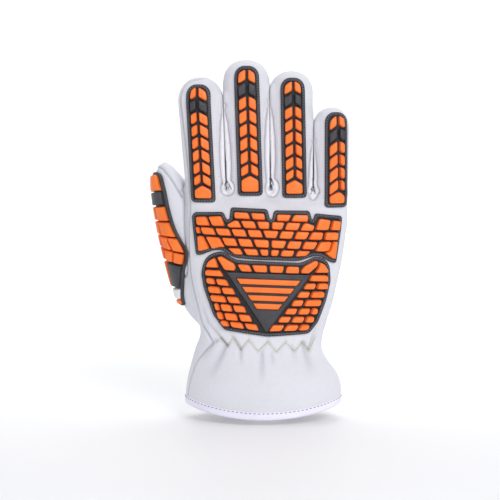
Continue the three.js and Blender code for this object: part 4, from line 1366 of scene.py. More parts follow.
def chevron(finger, peak, low_peak, side):
    """Block of a pair: its edges rise towards the groove between the columns"""
    border = FINGER_GUARDS[finger][11 if side < 0 else 12]
    half = FINGER_GUARDS[finger][0] - border
    slope = CHEVRON_RISE / half

    def edge(level, share):
        inner = groove_at(finger, level) + side * COLUMN_GAP / 2
        reach = side * guard_half(finger, level - CHEVRON_RISE, border)
        u = inner + (reach - inner) * share
        return u, level - slope * abs(u - inner)

    upper, lower = peak, low_peak + ROW_GAP
    block = [edge(lower, 0), edge(lower, 1)]
    if guard_half(finger, upper - CHEVRON_RISE, border) < half - 0.05:
        corner, level = edge(upper, 1)
        block += [edge((upper + lower) / 2, 1), (corner, level - CUT_DROP)]
        block.append(edge(upper, CUT_SHARE))
    else:
        block.append(edge(upper, 1))
    block.append(edge(upper, 0))
    return block


def five_sided(finger):
    half, *_, groove, border_left, border_right = FINGER_GUARDS[finger]
    foot, peak = FINGER_GUARDS[finger][4], FINGER_GUARDS[finger][7]
    low, shoulder = foot + HOUSE_FOOT, peak - CHEVRON_RISE
    left, right = border_left - half, half - border_right
    return [(left, shoulder), (left, low), (right, low), (right, shoulder), (groove, peak)]


guard_seams = []
for finger in FINGERS:
    _, _, _, top, foot, first, last, house, pairs, *_ = FINGER_GUARDS[finger]
    surface = finger_surface(finger)
    outline = as_seen(surface, guard_places(finger, guard_outline(finger)), RIM_SEEN)
    greys, oranges = bmesh.new(), bmesh.new()
    add_mould(greys, outline, RIM_PROFILE, GUARD_CORNER, marks=RIM_PAINTED_SHADE)
    peaks = [*np.linspace(first, last, pairs), house]
    for pair in range(pairs):
        chosen = greys if pair == GREY_PAIR else oranges
        for side in (-1, 1):
            block = guard_places(finger, chevron(finger, peaks[pair], peaks[pair + 1], side))
            add_mould(chosen, as_seen(surface, block, BLOCK_SEEN), BLOCK_PROFILE, BLOCK_ROUND)
    house = as_seen(surface, guard_places(finger, five_sided(finger)), BLOCK_SEEN)
    add_mould(oranges, house, BLOCK_PROFILE, BLOCK_ROUND)
    base = moulded_piece(finger + "_guard_rubber", greys, surface, (grey_rubber, painted_shade_and_frame_rubber))
    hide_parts(finger + "_guard_base")
    raised_blocks = moulded_piece(finger + "_guard_orange", oranges, surface, (orange_rubber,))
    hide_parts(finger + "_guard_tip_blocks", finger + "_guard_blocks")
    guard_seams.append((surface, outline, GUARD_CORNER))


# Knuckle guard: one plate over all four knuckles, scalloped between the fingers. Its blocks lie in
# level rows and lean outwards from the middle. Both hand guards sit a little askew on the hand.

TILT = math.radians(2.2)
KNUCKLE_MIDDLE = (4.8, 132)
KNUCKLE_CORNER = 2.2
# Across and up from the middle of the guard, in its own frame
KNUCKLE_OUTLINE = [
    (-58.0, 12.2), (-55.6, 15.0), (-34.9, 16.4), (-32.7, 11.7), (-31.4, 10.9), (-30.3, 11.6),
    (-29.8, 19.8), (-3.1, 19.6), (-1.2, 13.0), (-0.3, 12.2), (0.6, 12.8), (1.5, 18.9),
    (27.3, 19.6), (28.9, 14.2), (29.7, 13.3), (30.4, 14.0), (31.2, 17.8), (51.3, 16.2),
    (51.4, 12.0), (50.4, 1.7), (48.6, -14.7), (48.1, -18.3), (44.0, -17.4), (40.9, -15.6),
    (38.0, -13.9), (35.6, -13.0), (32.6, -13.0), (29.4, -13.8), (22.0, -16.6), (18.3, -17.0),
    (-9.7, -17.1), (-24.3, -16.4), (-28.3, -15.0), (-32.0, -12.7), (-34.8, -11.5), (-38.0, -11.2),
    (-41.2, -11.8), (-45.3, -13.4), (-49.3, -15.4), (-53.5, -16.3), (-54.4, -11.5), (-56.3, 1.4),
]
GROOVE_HALF = 1.02
# Tops at the left and right end, feet at the left and right end, then the grooves between the
# blocks: place at the top and place at the foot
KNUCKLE_ROWS = [
    (11.8, 13.5, 5.8, 6.5, [(-56.3, -55.3), (-47.0, -43.8), (-35.7, -32.8)]),
    (17.0, 16.7, 12.4, 12.1, [(-28.3, -27.9), (-16.1, -14.4), (-4.3, -3.5)]),
    (16.4, 16.7, 11.8, 11.8, [(2.8, 3.0), (15.3, 13.3), (27.5, 27.6)]),
    (14.3, 12.4, 6.0, 5.9, [(33.9, 31.4), (44.4, 42.7), (52.1, 51.4)]),
    (10.9, 10.8, 5.7, 5.3, [
        (-23.2, -20.5), (-11.6, -9.5), (-0.6, -0.4), (10.6, 8.8), (22.4, 20.2),
    ]),
    (4.6, 4.2, -0.3, -1.3, [
        (-52.5, -50.5), (-41.7, -39.0), (-29.9, -27.5), (-18.3, -16.2), (-6.8, -4.6),
        (6.6, 4.9), (17.9, 16.0), (29.1, 26.5), (39.2, 38.2), (50.6, 50.0),
    ]),
    (-2.1, -2.8, -7.6, -8.2, [
        (-36.6, -33.6), (-25.1, -22.6), (-13.6, -11.1), (-0.5, 0.0), (12.6, 10.6),
        (23.9, 21.9), (35.4, 32.7),
    ]),
    (-9.3, -9.4, -13.8, -13.7, [
        (-20.7, -17.8), (-8.8, -7.1), (-0.4, -0.3), (7.6, 6.4), (18.6, 17.2),
    ]),
]
# Blocks that fill the corners
KNUCKLE_CORNERS = [
    [(-55.0, 4.4), (-53.4, 4.4), (-51.8, 0.2), (-53.8, -0.2)],
    [(-32.2, 7.6), (-26.6, 10.9), (-24.2, 10.8), (-21.4, 5.8), (-30.6, 5.6)],
    [(31.6, 9.0), (30.4, 5.2), (21.2, 5.3), (23.6, 10.6), (26.2, 10.8)],
    [(-53.6, -1.9), (-49.8, -1.9), (-44.6, -10.6), (-52.4, -13.2)],
    [(-47.4, -2.0), (-37.6, -2.1), (-33.0, -9.0), (-36.4, -8.8), (-42.3, -10.6)],
    [(36.3, -2.7), (44.6, -2.4), (42.8, -9.0), (39.6, -9.6), (33.0, -9.4)],
    [(46.2, -2.5), (49.2, -2.3), (48.2, -14.4), (46.4, -14.8), (40.4, -10.7), (44.0, -9.4)],
    [(-30.9, -9.4), (-22.2, -9.2), (-19.6, -13.6), (-25.6, -13.8)],
    [(20.2, -9.4), (29.4, -9.4), (26.0, -13.0), (18.4, -13.7)],
]


def turned(middle, s, t):
    """Place on the back of the hand of a place in a guard's own frame"""
    cos, sin = math.cos(TILT), math.sin(TILT)
    return middle[0] + s * cos + t * sin, middle[1] - s * sin + t * cos


def hand_surface(u, v):
    left, right, front, _, square, _ = along(HAND, v)
    share = np.minimum(WIDEST, np.abs(u - (left + right) / 2) / ((right - left) / 2))
    return np.stack([u, -front * (1 - share**square) ** (1 / square), v + 0 * u], axis=-1)


def hand_mould(flat, middle, outline, profile, radius, seen, marks=()):
    """Mould on the back of the hand, from an outline in a guard's own frame"""
    placed = as_seen(hand_surface, [turned(middle, s, t) for s, t in outline], seen)
    add_mould(flat, placed, profile, radius, marks=marks)
    return placed


def row_blocks(flat, middle, row):
    top_left, top_right, foot_left, foot_right, grooves = row
    ends = grooves[0][0], grooves[-1][0]
    for left, right in zip(grooves[:-1], grooves[1:]):
        block = []
        for (top, foot), step in ((left, GROOVE_HALF), (right, -GROOVE_HALF)):
            share = (top - ends[0]) / (ends[1] - ends[0])
            side = [
                (foot + step, foot_left + (foot_right - foot_left) * share),
                (top + step, top_left + (top_right - top_left) * share),
            ]
            block += side if step < 0 else side[::-1]
        hand_mould(flat, middle, block, BLOCK_PROFILE, BLOCK_ROUND, BLOCK_SEEN)


flat = bmesh.new()
rim = RIM_PROFILE, KNUCKLE_CORNER, RIM_SEEN, RIM_PAINTED_SHADE
outline = hand_mould(flat, KNUCKLE_MIDDLE, KNUCKLE_OUTLINE, *rim)
rubbers = grey_rubber, painted_shade_and_frame_rubber
base = moulded_piece("knuckle_guard_rubber", flat, hand_surface, rubbers, 3.0, 3.0)
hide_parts("knuckle_guard_base")
guard_seams.append((hand_surface, outline, KNUCKLE_CORNER))
flat = bmesh.new()
for row in KNUCKLE_ROWS:
    row_blocks(flat, KNUCKLE_MIDDLE, row)
for corner in KNUCKLE_CORNERS:
    hand_mould(flat, KNUCKLE_MIDDLE, corner, BLOCK_PROFILE, BLOCK_ROUND, BLOCK_SEEN)
blocks = moulded_piece("knuckle_guard_orange", flat, hand_surface, (orange_rubber,), 4.0, 8.0)
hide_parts("knuckle_guard_blocks")


# Guard over the back of the hand: short rows of blocks down each side of a plain three-cornered
# plate, which carries four level ribs.

BACK_MIDDLE = (1.8, 90)
BACK_CORNER = 2.6
BACK_OUTLINE = [
    (-47.0, 19.3), (-45.4, 23.7), (-42.6, 26.8), (-39.2, 28.6), (-35.6, 29.6), (-32.6, 29.5),
    (-30.0, 28.5), (-26.6, 26.1), (-23.0, 24.5), (-15.7, 24.1), (23.6, 23.9), (28.5, 26.0),
    (33.0, 28.2), (36.4, 28.5), (39.8, 27.5), (43.2, 24.9), (45.0, 21.4), (46.2, 11.1),
    (43.6, -3.0), (38.3, -19.1), (31.8, -27.6), (1.8, -30.2), (-29.6, -27.0), (-38.0, -16.8),
    (-45.7, 2.4), (-48.0, 13.1),
]
BACK_ROWS = [
    (21.4, 21.2, 16.4, 16.3, [
        (-23.2, -20.0), (-12.6, -10.1), (0.2, 0.9), (13.0, 11.8), (23.8, 23.9),
    ]),
    (16.0, 16.2, 11.9, 12.0, [(-46.3, -46.4), (-33.5, -31.0)]),
    (10.2, 9.8, 6.2, 5.2, [(-45.8, -44.8), (-38.5, -36.8), (-29.0, -26.5)]),
    (4.1, 3.8, -0.5, -0.7, [(-44.2, -43.0), (-34.1, -32.2), (-24.0, -21.7)]),
    (-2.2, -2.6, -6.6, -7.0, [(-42.4, -40.7), (-30.3, -27.8), (-20.1, -17.5)]),
    (-7.9, -8.7, -12.8, -13.3, [(-39.3, -37.8), (-34.6, -32.9), (-25.4, -23.4), (-15.3, -13.1)]),
    (-14.1, -15.0, -19.2, -19.8, [(-37.5, -35.4), (-31.6, -29.8), (-21.0, -19.0), (-10.8, -8.6)]),
    (-20.0, -21.6, -23.8, -26.0, [(-34.3, -32.6), (-27.2, -25.5), (-16.5, -14.2), (-5.6, -3.6)]),
    (15.2, 15.0, 11.0, 10.6, [(31.1, 29.7), (45.4, 45.8)]),
    (9.1, 9.2, 5.0, 5.0, [(27.6, 25.6), (36.9, 35.7), (45.6, 45.9)]),
    (3.0, 3.1, -1.2, -1.2, [(23.1, 21.1), (32.8, 31.2), (43.4, 43.1)]),
    (-3.1, -2.8, -7.4, -7.3, [(19.1, 17.1), (28.4, 26.7), (41.5, 40.6)]),
    (-9.2, -9.0, -13.4, -13.3, [(14.5, 12.6), (24.1, 22.4), (33.6, 32.0), (39.1, 38.7)]),
    (-15.2, -15.1, -19.4, -19.3, [(10.0, 7.8), (19.7, 17.7), (29.6, 28.0), (36.7, 36.3)]),
    (-21.5, -21.2, -26.1, -24.9, [(4.4, 1.7), (15.0, 12.4), (25.7, 23.4), (33.7, 32.2)]),
]
# Blocks that fill the corners
BACK_CORNERS = [
    [(-45.0, 18.8), (-43.4, 22.4), (-39.6, 25.0), (-38.4, 24.2), (-36.0, 18.2), (-44.6, 18.0)],
    [(-37.1, 25.6), (-34.4, 26.6), (-24.4, 21.7), (-23.2, 18.4), (-24.4, 16.6), (-31.2, 16.9)],
    [
        (27.0, 21.9), (34.3, 25.9), (36.6, 25.4), (36.2, 22.0), (30.0, 16.4), (24.4, 16.6),
        (24.4, 18.6),
    ],
    [(38.0, 24.9), (41.6, 23.2), (44.4, 18.9), (44.4, 17.1), (34.8, 17.1), (37.4, 20.6)],
]
PLATE = [(1.0, -27.4), (31.9, 15.3), (-29.9, 15.3)]
PLATE_CORNER = 1.2
PLATE_PROFILE = [(-0.2, 0.6), (0.0, 1.7), (0.3, 2.3), (0.7, 2.45)]
PLATE_SEEN = 2.4
RIBS = [9.2, 3.4, -2.4, -8.2]
RIB_HALF = 1.9
RIB_CORNER = 0.7
RIB_CLEAR = 4.8
RIB_PROFILE = [(-0.2, 1.8), (-0.05, 3.0), (0.3, 3.5), (0.7, 3.6)]
RIB_SEEN = 3.5
RIB_FRAME = 0.75
FRAME_PROFILE = [(0.0, 1.6), (0.0, 2.5), (0.1, 2.56), (0.3, 2.58)]

flat = bmesh.new()
outline = hand_mould(flat, BACK_MIDDLE, BACK_OUTLINE, RIM_PROFILE, BACK_CORNER, RIM_SEEN, RIM_PAINTED_SHADE)
hand_mould(flat, BACK_MIDDLE, PLATE, PLATE_PROFILE, PLATE_CORNER, PLATE_SEEN)
base = moulded_piece("back_guard_rubber", flat, hand_surface, rubbers, 3.0, 3.0)
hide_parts("back_guard_base")
guard_seams.append((hand_surface, outline, BACK_CORNER))
flat = bmesh.new()
for row in BACK_ROWS:
    row_blocks(flat, BACK_MIDDLE, row)
for corner in BACK_CORNERS:
    hand_mould(flat, BACK_MIDDLE, corner, BLOCK_PROFILE, BLOCK_ROUND, BLOCK_SEEN)
blocks = moulded_piece("back_guard_orange", flat, hand_surface, (orange_rubber,), 4.0, 8.0)
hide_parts("back_guard_blocks")
flat, frames = bmesh.new(), bmesh.new()
(plate_middle, plate_foot), (plate_right, plate_top) = PLATE[:2]
for level in RIBS:
    edge = []
    for rise in (-RIB_HALF, RIB_HALF):
        share = (level + rise - plate_foot) / (plate_top - plate_foot)
        edge.append((level + rise, (plate_right - plate_middle) * share - RIB_CLEAR))
    (low, wide_low), (high, wide_high) = edge
    rib = [(-wide_low, low), (wide_low, low), (wide_high, high), (-wide_high, high)]
    rib = [(plate_middle + s, t) for s, t in rib]
    hand_mould(flat, BACK_MIDDLE, rib, RIB_PROFILE, RIB_CORNER, RIB_SEEN)
    around = drawn_in(rib, -RIB_FRAME)
    hand_mould(frames, BACK_MIDDLE, around, FRAME_PROFILE, PLATE_CORNER, PLATE_SEEN)
ribs = moulded_piece("back_guard_ribs_orange", flat, hand_surface, (orange_rubber,), 3.0, 8.0)
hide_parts(*[f"back_guard_rib_{number}" for number in (1, 2, 3, 4)])
# Near-black frames round the ribs, in the same rubber as the painted shade of the sunk fields
frames = moulded_piece("back_guard_rib_frames", frames, hand_surface, (painted_shade_and_frame_rubber,), 3.0, 8.0)


# Thumb guard: a long plate down the outer side of the thumb and its ball. Below its blocks it is
# plain, with a pale tab and an orange toe at the wrist end.

# z, middle of the guard round the thumb in degrees, half width
THUMB_GUARD = np.array([
    [79.5, 2.5, 9.1],
    [82.9, 2.8, 10.7],
    [91, 8.9, 12.1],
    [98, 17.5, 12.5],
    [105.9, 27, 12.5],
    [111, 34, 13.6],
    [115, 38.4, 14.2],
    [119, 40.5, 14.3],
    [122, 40.2, 13.8],
    [127, 36.7, 13.1],
    [134.5, 30.3, 11.8],
    [142, 26.7, 11.3],
    [149.5, 25, 10.6],
    [162, 25.5, 9.3],
    [168, 27, 8.1],
    [173, 30.5, 6.5],
    [176.4, 33.5, 3.4],
])
# top, foot, blocks, slant of the top, slant of the foot, colour
THUMB_ROWS = [
    (174.0, 162.4, 1, -0.6, -1.4, "orange"),
    (161.6, 152.4, 1, -1.4, -1.4, "grey"),
    (151.4, 142.6, 2, -0.6, 0.8, "orange"),
    (141.2, 133.0, 2, 0.8, 3.0, "orange"),
    (131.6, 124.4, 3, 3.0, 6.0, "orange"),
    (123.0, 115.0, 3, 6.0, 5.0, "orange"),
]
THUMB_GAP = 0.06
# Plain field below the blocks with an orange strip at its left, the tab, and the toe: top and foot
THUMB_PANEL = (112.6, 93.2)
PANEL_SLANTS = (4, 0)
THUMB_TAB = (91.6, 84.6)
THUMB_TOE = (83.6, 80.9)
THUMB_EDGE = 2.8
THUMB_STRIP = (-0.86, -0.44)
PANEL_LEFT = -0.38
TAB_EDGE = 1.4
THUMB_CORNER = 3.0
THUMB_BLOCK_CORNER = 1.0
TAB_CORNER = 1.4
THUMB_RIM = [
    (0.1, -SINK), (0.0, 0.4), (0.0, 1.7), (0.25, 2.25), (0.7, 2.45), (1.25, 2.35), (1.75, 2.3),
    (2.15, 2.1), (2.35, 1.2), (2.45, 0.9),
]
# Rings of the thumb's rim above which the rubber is near black: painted shade down into the sunk
# field
THUMB_PAINTED_SHADE = {7, 8, 9}
PANEL_PROFILE = [(-0.2, 0.6), (0.0, 2.6), (0.4, 3.3), (0.9, 3.4)]
TAB_PROFILE = [(-0.2, 0.6), (0.0, 2.8), (0.4, 3.6), (1.0, 3.8)]


def thumb_surface(u, v):
    x, y, wide, thick = along(THUMB, v)
    turn, _ = along(THUMB_GUARD, v)
    angle = np.radians(turn) + 2 * u / (wide + thick)
    return np.stack([x - wide * np.cos(angle), y - thick * np.sin(angle), v + 0 * u], axis=-1)


def thumb_half(level):
    return float(np.interp(level, THUMB_GUARD[:, 0], THUMB_GUARD[:, 2]))


def thumb_corners(top, foot, slants=(0, 0), span=(-1, 1), edge=THUMB_EDGE):
    """Corners of a block between two levels and two shares of the guard's width. The slants say how
    much lower its top and foot are at the right than at the left."""
    corners = []
    for level, slant, way in ((foot, slants[1], 1), (top, slants[0], -1)):
        for share in np.linspace(*span, 3)[::way]:
            lowered = level - slant * (share + 1) / 2
            corners.append((share * (thumb_half(lowered) - edge), lowered))
    return corners


right = [(half, level) for level, _, half in THUMB_GUARD]
outline = right + [(-half, level) for half, level in right[::-1]]
flat = bmesh.new()
add_mould(flat, outline, THUMB_RIM, THUMB_CORNER, marks=THUMB_PAINTED_SHADE)
orange_flat = bmesh.new()
for top, foot, count, *slants, colour in THUMB_ROWS:
    chosen = orange_flat if colour == "orange" else flat
    for place in range(count):
        start = -1 + 2 * place / count + (THUMB_GAP if place else 0)
        end = -1 + 2 * (place + 1) / count - (THUMB_GAP if place + 1 < count else 0)
        block = thumb_corners(top, foot, slants, (start, end))
        add_mould(chosen, block, BLOCK_PROFILE, THUMB_BLOCK_CORNER)
plain = thumb_corners(*THUMB_PANEL, PANEL_SLANTS, (PANEL_LEFT, 1))
add_mould(flat, plain, PANEL_PROFILE, THUMB_BLOCK_CORNER)
strip = thumb_corners(*THUMB_PANEL, PANEL_SLANTS, THUMB_STRIP)
add_mould(orange_flat, strip, BLOCK_PROFILE, THUMB_BLOCK_CORNER)
base = moulded_piece("thumb_guard_rubber", flat, thumb_surface, rubbers, 2.5, 3.0)
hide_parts("thumb_guard_base")
guard_seams.append((thumb_surface, outline, THUMB_CORNER))
orange = (orange_rubber,)
blocks = moulded_piece("thumb_guard_orange", orange_flat, thumb_surface, orange, 2.5, 6.0)
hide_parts("thumb_guard_end_block", "thumb_guard_blocks")
flat = bmesh.new()
toe_outline = thumb_corners(*THUMB_TOE, edge=TAB_EDGE)
add_mould(flat, toe_outline, TAB_PROFILE, THUMB_BLOCK_CORNER)
toe = moulded_piece("thumb_guard_toe_orange", flat, thumb_surface, orange, 2.5, 6.0)
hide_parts("thumb_guard_toe")
pale_tab = rubber_material("pale_tab", (0.78, 0.78, 0.81, 1), (0.84, 0.84, 0.87, 1), 0.5)
flat = bmesh.new()
add_mould(flat, thumb_corners(*THUMB_TAB, edge=TAB_EDGE), TAB_PROFILE, TAB_CORNER)
tab = moulded_piece("thumb_guard_tab_pale", flat, thumb_surface, (pale_tab,), 2.5, 6.0)
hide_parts("thumb_guard_tab")


# Stitches: grey-blue thread in the grooves of the guards, dark dashes along the hem, a fine
# yellow-green zigzag over the elastic, small overcast stitches down the outer finger seam, and
# short pale dashes on the fingers beside the side strips.

THREAD_SIDES = 6
THREAD_STATIONS = 5
STITCH_PARTS = np.linspace(0, 1, THREAD_STATIONS)
STITCH_ARCH = np.sin(math.pi * STITCH_PARTS)
THREAD_END = 0.45


def thread_material(name, dark, light):
    made, shader, place = new_material(name)
    fibre = noise(place, 2600.0)
    feed(shader, Base_Color=fibre.kept(0.35, 0.65).mix(dark, light))
    feed(shader, Roughness=0.6 + 0.1 * fibre, Specular_IOR_Level=0.3)
    feed(shader, Normal=bumped(place, fibre, 0.3, 0.0001))
    return made


def thread(name, runs, outwards, radius, material):
    """Stitches, each a thin tube through a row of points, drawn in at both ends"""
    runs = np.asarray(runs, float)
    ahead = np.gradient(runs, axis=1)
    ahead /= np.linalg.norm(ahead, axis=2, keepdims=True)
    across = np.cross(ahead, np.asarray(outwards)[:, None])
    across /= np.linalg.norm(across, axis=2, keepdims=True)
    above = np.cross(across, ahead)
    turns = ring_angles(THREAD_SIDES)[:, None]
    ring = np.cos(turns) * across[:, :, None] + np.sin(turns) * above[:, :, None]
    full = radius * (THREAD_END + (1 - THREAD_END) * STITCH_ARCH)
    points = (runs[:, :, None] + ring * full[:, None, None]).reshape(-1, 3)
    tube = []
    for station in range(THREAD_STATIONS - 1):
        for side in range(THREAD_SIDES):
            other = (side + 1) % THREAD_SIDES
            low, high = station * THREAD_SIDES, (station + 1) * THREAD_SIDES
            tube.append((low + side, low + other, high + other, high + side))
    size = THREAD_STATIONS * THREAD_SIDES
    tube += [tuple(range(THREAD_SIDES))[::-1], tuple(range(size - THREAD_SIDES, size))]
    tubes = []
    for run in range(len(runs)):
        tubes += [tuple(corner + size * run for corner in face) for face in tube]
    piece = new_piece(name, points, tubes)
    piece.data.materials.append(material)
    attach(piece, "root")


def evenly(line, pitch, length, closed=False):
    """Points of even stitches along a line of points: one row of stations for each stitch"""
    line = np.asarray(line, float)
    if closed:
        line = np.concatenate([line, line[:1]])
    way = np.concatenate([[0], np.cumsum(np.linalg.norm(np.diff(line, axis=0), axis=1))])
    count = max(1, round(way[-1] / pitch))
    places = np.arange(count)[:, None] * (way[-1] / count) + STITCH_PARTS * length
    return np.stack([np.interp(places, way, column) for column in line.T], axis=-1)


def sewn_on(runs, height, arch, surface):
    """Stitches of a flat line, laid on a surface"""
    rise = np.broadcast_to(height + arch * STITCH_ARCH, runs.shape[:2])
    places = np.concatenate([runs, rise[..., None]], axis=-1).reshape(-1, 3)
    laid, facing = laid_on(surface, places)
    shape = *runs.shape[:2], 3
    return laid.reshape(shape), facing.reshape(shape).mean(1)


IN_FRONT = 90


def front_of_leather(places):
    """Points of the back of the glove at an x and z, with the way the leather faces there"""
    found, facing = [], []
    for x, z in places:
        hit, normal, *_ = leather_skin.ray_cast(Vector((x, -IN_FRONT, z)), Vector((0, 1, 0)))
        found.append(hit[:])
        facing.append(normal[:])
    return np.array(found), np.array(facing)


LINE_PITCH = 2.0
GUARD_PITCH = 1.9
GUARD_STITCH = 1.3
GUARD_HEIGHT = 1.4
GUARD_ARCH = 0.3
GUARD_THREAD = 0.24
guard_thread = thread_material("guard_thread", (0.2, 0.22, 0.27, 1), (0.3, 0.32, 0.38, 1))
runs, outwards = [], []
for surface, outline, radius in guard_seams:
    outline = anticlockwise(outline)
    line = softened(drawn_in(outline, SEWN_INSET), radius, side_counts(outline, LINE_PITCH))
    run = evenly(line, GUARD_PITCH, GUARD_STITCH, closed=True)
    laid, facing = sewn_on(run, GUARD_HEIGHT, GUARD_ARCH, surface)
    runs.append(laid)
    outwards.append(facing)
runs, outwards = np.concatenate(runs), np.concatenate(outwards)
thread("guard_stitches", runs, outwards, GUARD_THREAD, guard_thread)

HEM_PITCH = 3.2
HEM_STITCH = 1.7
HEM_LEVEL = 3.45
HEM_OUT = 0.5
HEM_ARCH = 0.12
HEM_THREAD = 0.27
hem_thread = thread_material("hem_thread", (0.1, 0.1, 0.15, 1), (0.16, 0.16, 0.22, 1))
angles = ring_angles(720)
hem_line = binding_point(angles, HEM_OUT, HEM_LEVEL + 0 * angles)
runs = evenly(hem_line, HEM_PITCH, HEM_STITCH, closed=True)
outwards = runs.mean(1) * (1, 1, 0)
outwards /= np.linalg.norm(outwards, axis=1)[:, None]
runs = runs + outwards[:, None] * HEM_ARCH * STITCH_ARCH[:, None]
thread("hem_stitches", runs, outwards, HEM_THREAD, hem_thread)

ZIGZAG_PITCH = 2.1
ZIGZAG_STITCH = 1.5
ZIGZAG_HEIGHT = 0.1
ZIGZAG_THREAD = 0.27
zigzag_thread = thread_material("zigzag_thread", (0.48, 0.48, 0.07, 1), (0.6, 0.6, 0.13, 1))
runs, outwards = [], []
for start, end in zip(ZIGZAG[1:-1], ZIGZAG[2:]):
    run = evenly([start, end], ZIGZAG_PITCH, ZIGZAG_STITCH)
    found, facing = front_of_leather(run.reshape(-1, 2))
    found += facing * ZIGZAG_HEIGHT
    runs.append(found.reshape(-1, THREAD_STATIONS, 3))
    outwards.append(facing.reshape(-1, THREAD_STATIONS, 3).mean(1))
runs, outwards = np.concatenate(runs), np.concatenate(outwards)
thread("zigzag_stitches", runs, outwards, ZIGZAG_THREAD, zigzag_thread)

OUTER_LEVELS = np.arange(160.0, 231.0, 1.7)
OUTER_OFF = 1.3
OUTER_FIRST = 1.5
OUTER_RISE = 1.1
OUTER_HEIGHT = 0.08
OUTER_THREAD = 0.16
outer_thread = thread_material("outer_thread", (0.45, 0.4, 0.24, 1), (0.6, 0.55, 0.36, 1))
runs, outwards = [], []
for level in OUTER_LEVELS:
    seam = curl(level) + float(np.interp(level, SIDE_SEAM[:, 0], SIDE_SEAM[:, 1]))
    run = []
    for part in STITCH_PARTS:
        depth = seam - OUTER_OFF * (OUTER_FIRST - part)
        spot = Vector((-100, depth, level + OUTER_RISE * part))
        hit, normal, *_ = leather_skin.ray_cast(spot, Vector((1, 0, 0)))
        run.append(np.array(hit) + np.array(normal) * OUTER_HEIGHT)
    runs.append(run)
    outwards.append(normal[:])
thread("outer_seam_stitches", runs, outwards, OUTER_THREAD, outer_thread)

STRIP_PITCH = 2.0
STRIP_STITCH = 1.0
STRIP_OFF = 1.0
STRIP_HEIGHT = 0.02
STRIP_THREAD = 0.13
STRIP_SEWN_FROM = 174.0
STRIP_SEWN_BELOW_TOP = 4
STRIP_SHARES = np.linspace(0.5, 0.98, 24)
strip_thread = thread_material("strip_thread", (0.4, 0.41, 0.5, 1), (0.52, 0.53, 0.62, 1))
runs, outwards = [], []
for left, right in zip(list(FINGERS)[:-1], list(FINGERS)[1:]):
    top = strip_top(left, right)
    for finger, side in ((left, 1), (right, -1)):
        line = []
        for level in np.arange(STRIP_SEWN_FROM, top - STRIP_SEWN_BELOW_TOP, 1.0):
            wanted = float(strip_front(finger, level, top)) - STRIP_OFF
            middle, _, wide, _ = finger_section(finger, level)
            spots = [(middle + side * wide * share, level) for share in STRIP_SHARES]
            depth = front_of_leather(spots)[0][:, 1]
            line.append(spots[int(np.argmin(np.abs(depth - wanted)))])
        line = np.array(line)
        line[1:-1, 0] = (line[:-2, 0] + line[1:-1, 0] + line[2:, 0]) / 3
        run = evenly(line, STRIP_PITCH, STRIP_STITCH)
        found, facing = front_of_leather(run.reshape(-1, 2))
        runs.append((found + facing * STRIP_HEIGHT).reshape(-1, THREAD_STATIONS, 3))
        outwards.append(facing.reshape(-1, THREAD_STATIONS, 3).mean(1))
runs, outwards = np.concatenate(runs), np.concatenate(outwards)
thread("strip_stitches", runs, outwards, STRIP_THREAD, strip_thread)


# Table, light and camera: a pale table that curves up into a round wall, large soft lights above
# it, and a camera straight in front and a little above.

FLOOR_LEVEL = -3.5
FLOOR_INNER = 40
FLOOR_RADIUS = 2200
WALL_ROUND = 600
WALL_TOP = 3400
TABLE_SIDES = 96
# Where the table starts to grow paler and where it is palest, in metres behind the glove
FLOOR_NEAR = -0.25
FLOOR_FAR = 0.95
GLOW_NEAR = (0.42, 0.423, 0.437, 1)
GLOW_FAR = (1.0, 1.0, 1.0, 1)


def stage_material():
    made, shader, place = new_material("table")
    parts = place.node("ShaderNodeSeparateXYZ", Vector=place)
    away = Shade(place.tree, parts.outputs["Y"]).kept(FLOOR_NEAR, FLOOR_FAR)
    feed(shader, Base_Color=away.mix((0.66, 0.664, 0.678, 1), (0.68, 0.68, 0.685, 1)))
    feed(shader, Roughness=0.5, Specular_IOR_Level=0.2)
    feed(shader, Emission_Color=away.mix(GLOW_NEAR, GLOW_FAR), Emission_Strength=0.5)
    return made


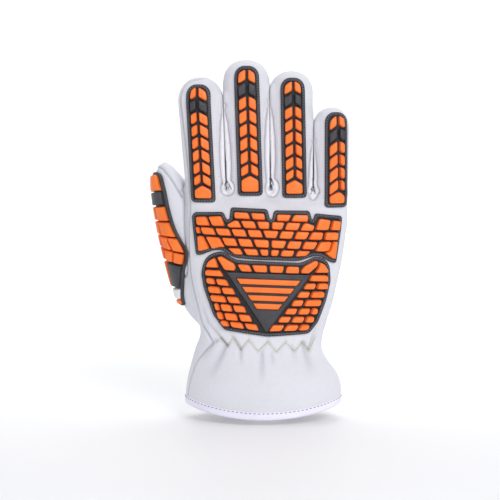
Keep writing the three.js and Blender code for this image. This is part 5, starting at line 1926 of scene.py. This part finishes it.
rows = [(FLOOR_INNER, FLOOR_LEVEL), (FLOOR_RADIUS, FLOOR_LEVEL)]
for turn in np.linspace(0.1, math.pi / 2, 14):
    out, up = WALL_ROUND * math.sin(turn), WALL_ROUND * (1 - math.cos(turn))
    rows.append((FLOOR_RADIUS + out, FLOOR_LEVEL + up))
rows.append((FLOOR_RADIUS + WALL_ROUND, WALL_TOP))
table_points = []
for reach, z in rows:
    for turn in ring_angles(TABLE_SIDES):
        table_points.append((reach * math.cos(turn), reach * math.sin(turn), z))
table_faces = [tuple(range(TABLE_SIDES))]
for row in range(len(rows) - 1):
    for side in range(TABLE_SIDES):
        other = (side + 1) % TABLE_SIDES
        low, high = row * TABLE_SIDES, (row + 1) * TABLE_SIDES
        table_faces.append((low + side, high + side, high + other, low + other))
table = new_piece("table", table_points, table_faces)
table.data.materials.append(stage_material())
table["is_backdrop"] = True


def lamp(name, place, target, size, power):
    light = bpy.data.lights.new(name, "AREA")
    light.shape = "DISK"
    light.size = size
    light.energy = power
    made = bpy.data.objects.new(name, light)
    made.location = place
    made.rotation_euler = (Vector(target) - Vector(place)).to_track_quat("-Z", "Y").to_euler()
    made.visible_camera = False
    bpy.context.scene.collection.objects.link(made)
    made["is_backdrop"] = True


lamp("key", (0.7, -1.9, 1.35), (0, 0, 0.13), 1.1, 26)
lamp("top", (0.0, 0.8, 1.75), (0, 0, 0.1), 1.4, 13)
world = bpy.data.worlds.new("studio")
world.use_nodes = True
sky = world.node_tree.nodes["Background"].inputs
sky["Color"].default_value = (1, 1, 1, 1)
sky["Strength"].default_value = 0.12
scene = bpy.context.scene
scene.world = world
scene.view_settings.view_transform = "Standard"

CAMERA_TARGET = Vector((-0.0102, 0.0, 0.1203))
CAMERA_DISTANCE = 1.6
CAMERA_RISE = math.radians(5)
FOCAL_LENGTH = 157.4
lens = bpy.data.cameras.new("camera")
lens.lens = FOCAL_LENGTH
lens.sensor_width = 36
camera = bpy.data.objects.new("camera", lens)
away = Vector((0, -math.cos(CAMERA_RISE), math.sin(CAMERA_RISE)))
camera.location = CAMERA_TARGET + away * CAMERA_DISTANCE
camera.rotation_euler = (-away).to_track_quat("-Z", "Y").to_euler()
scene.collection.objects.link(camera)
scene.camera = camera
camera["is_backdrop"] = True

sizes = {"cad": [list(map(float, corner)) for corner in cad_box]}
sizes["scene"] = [list(map(float, corner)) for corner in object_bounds()]
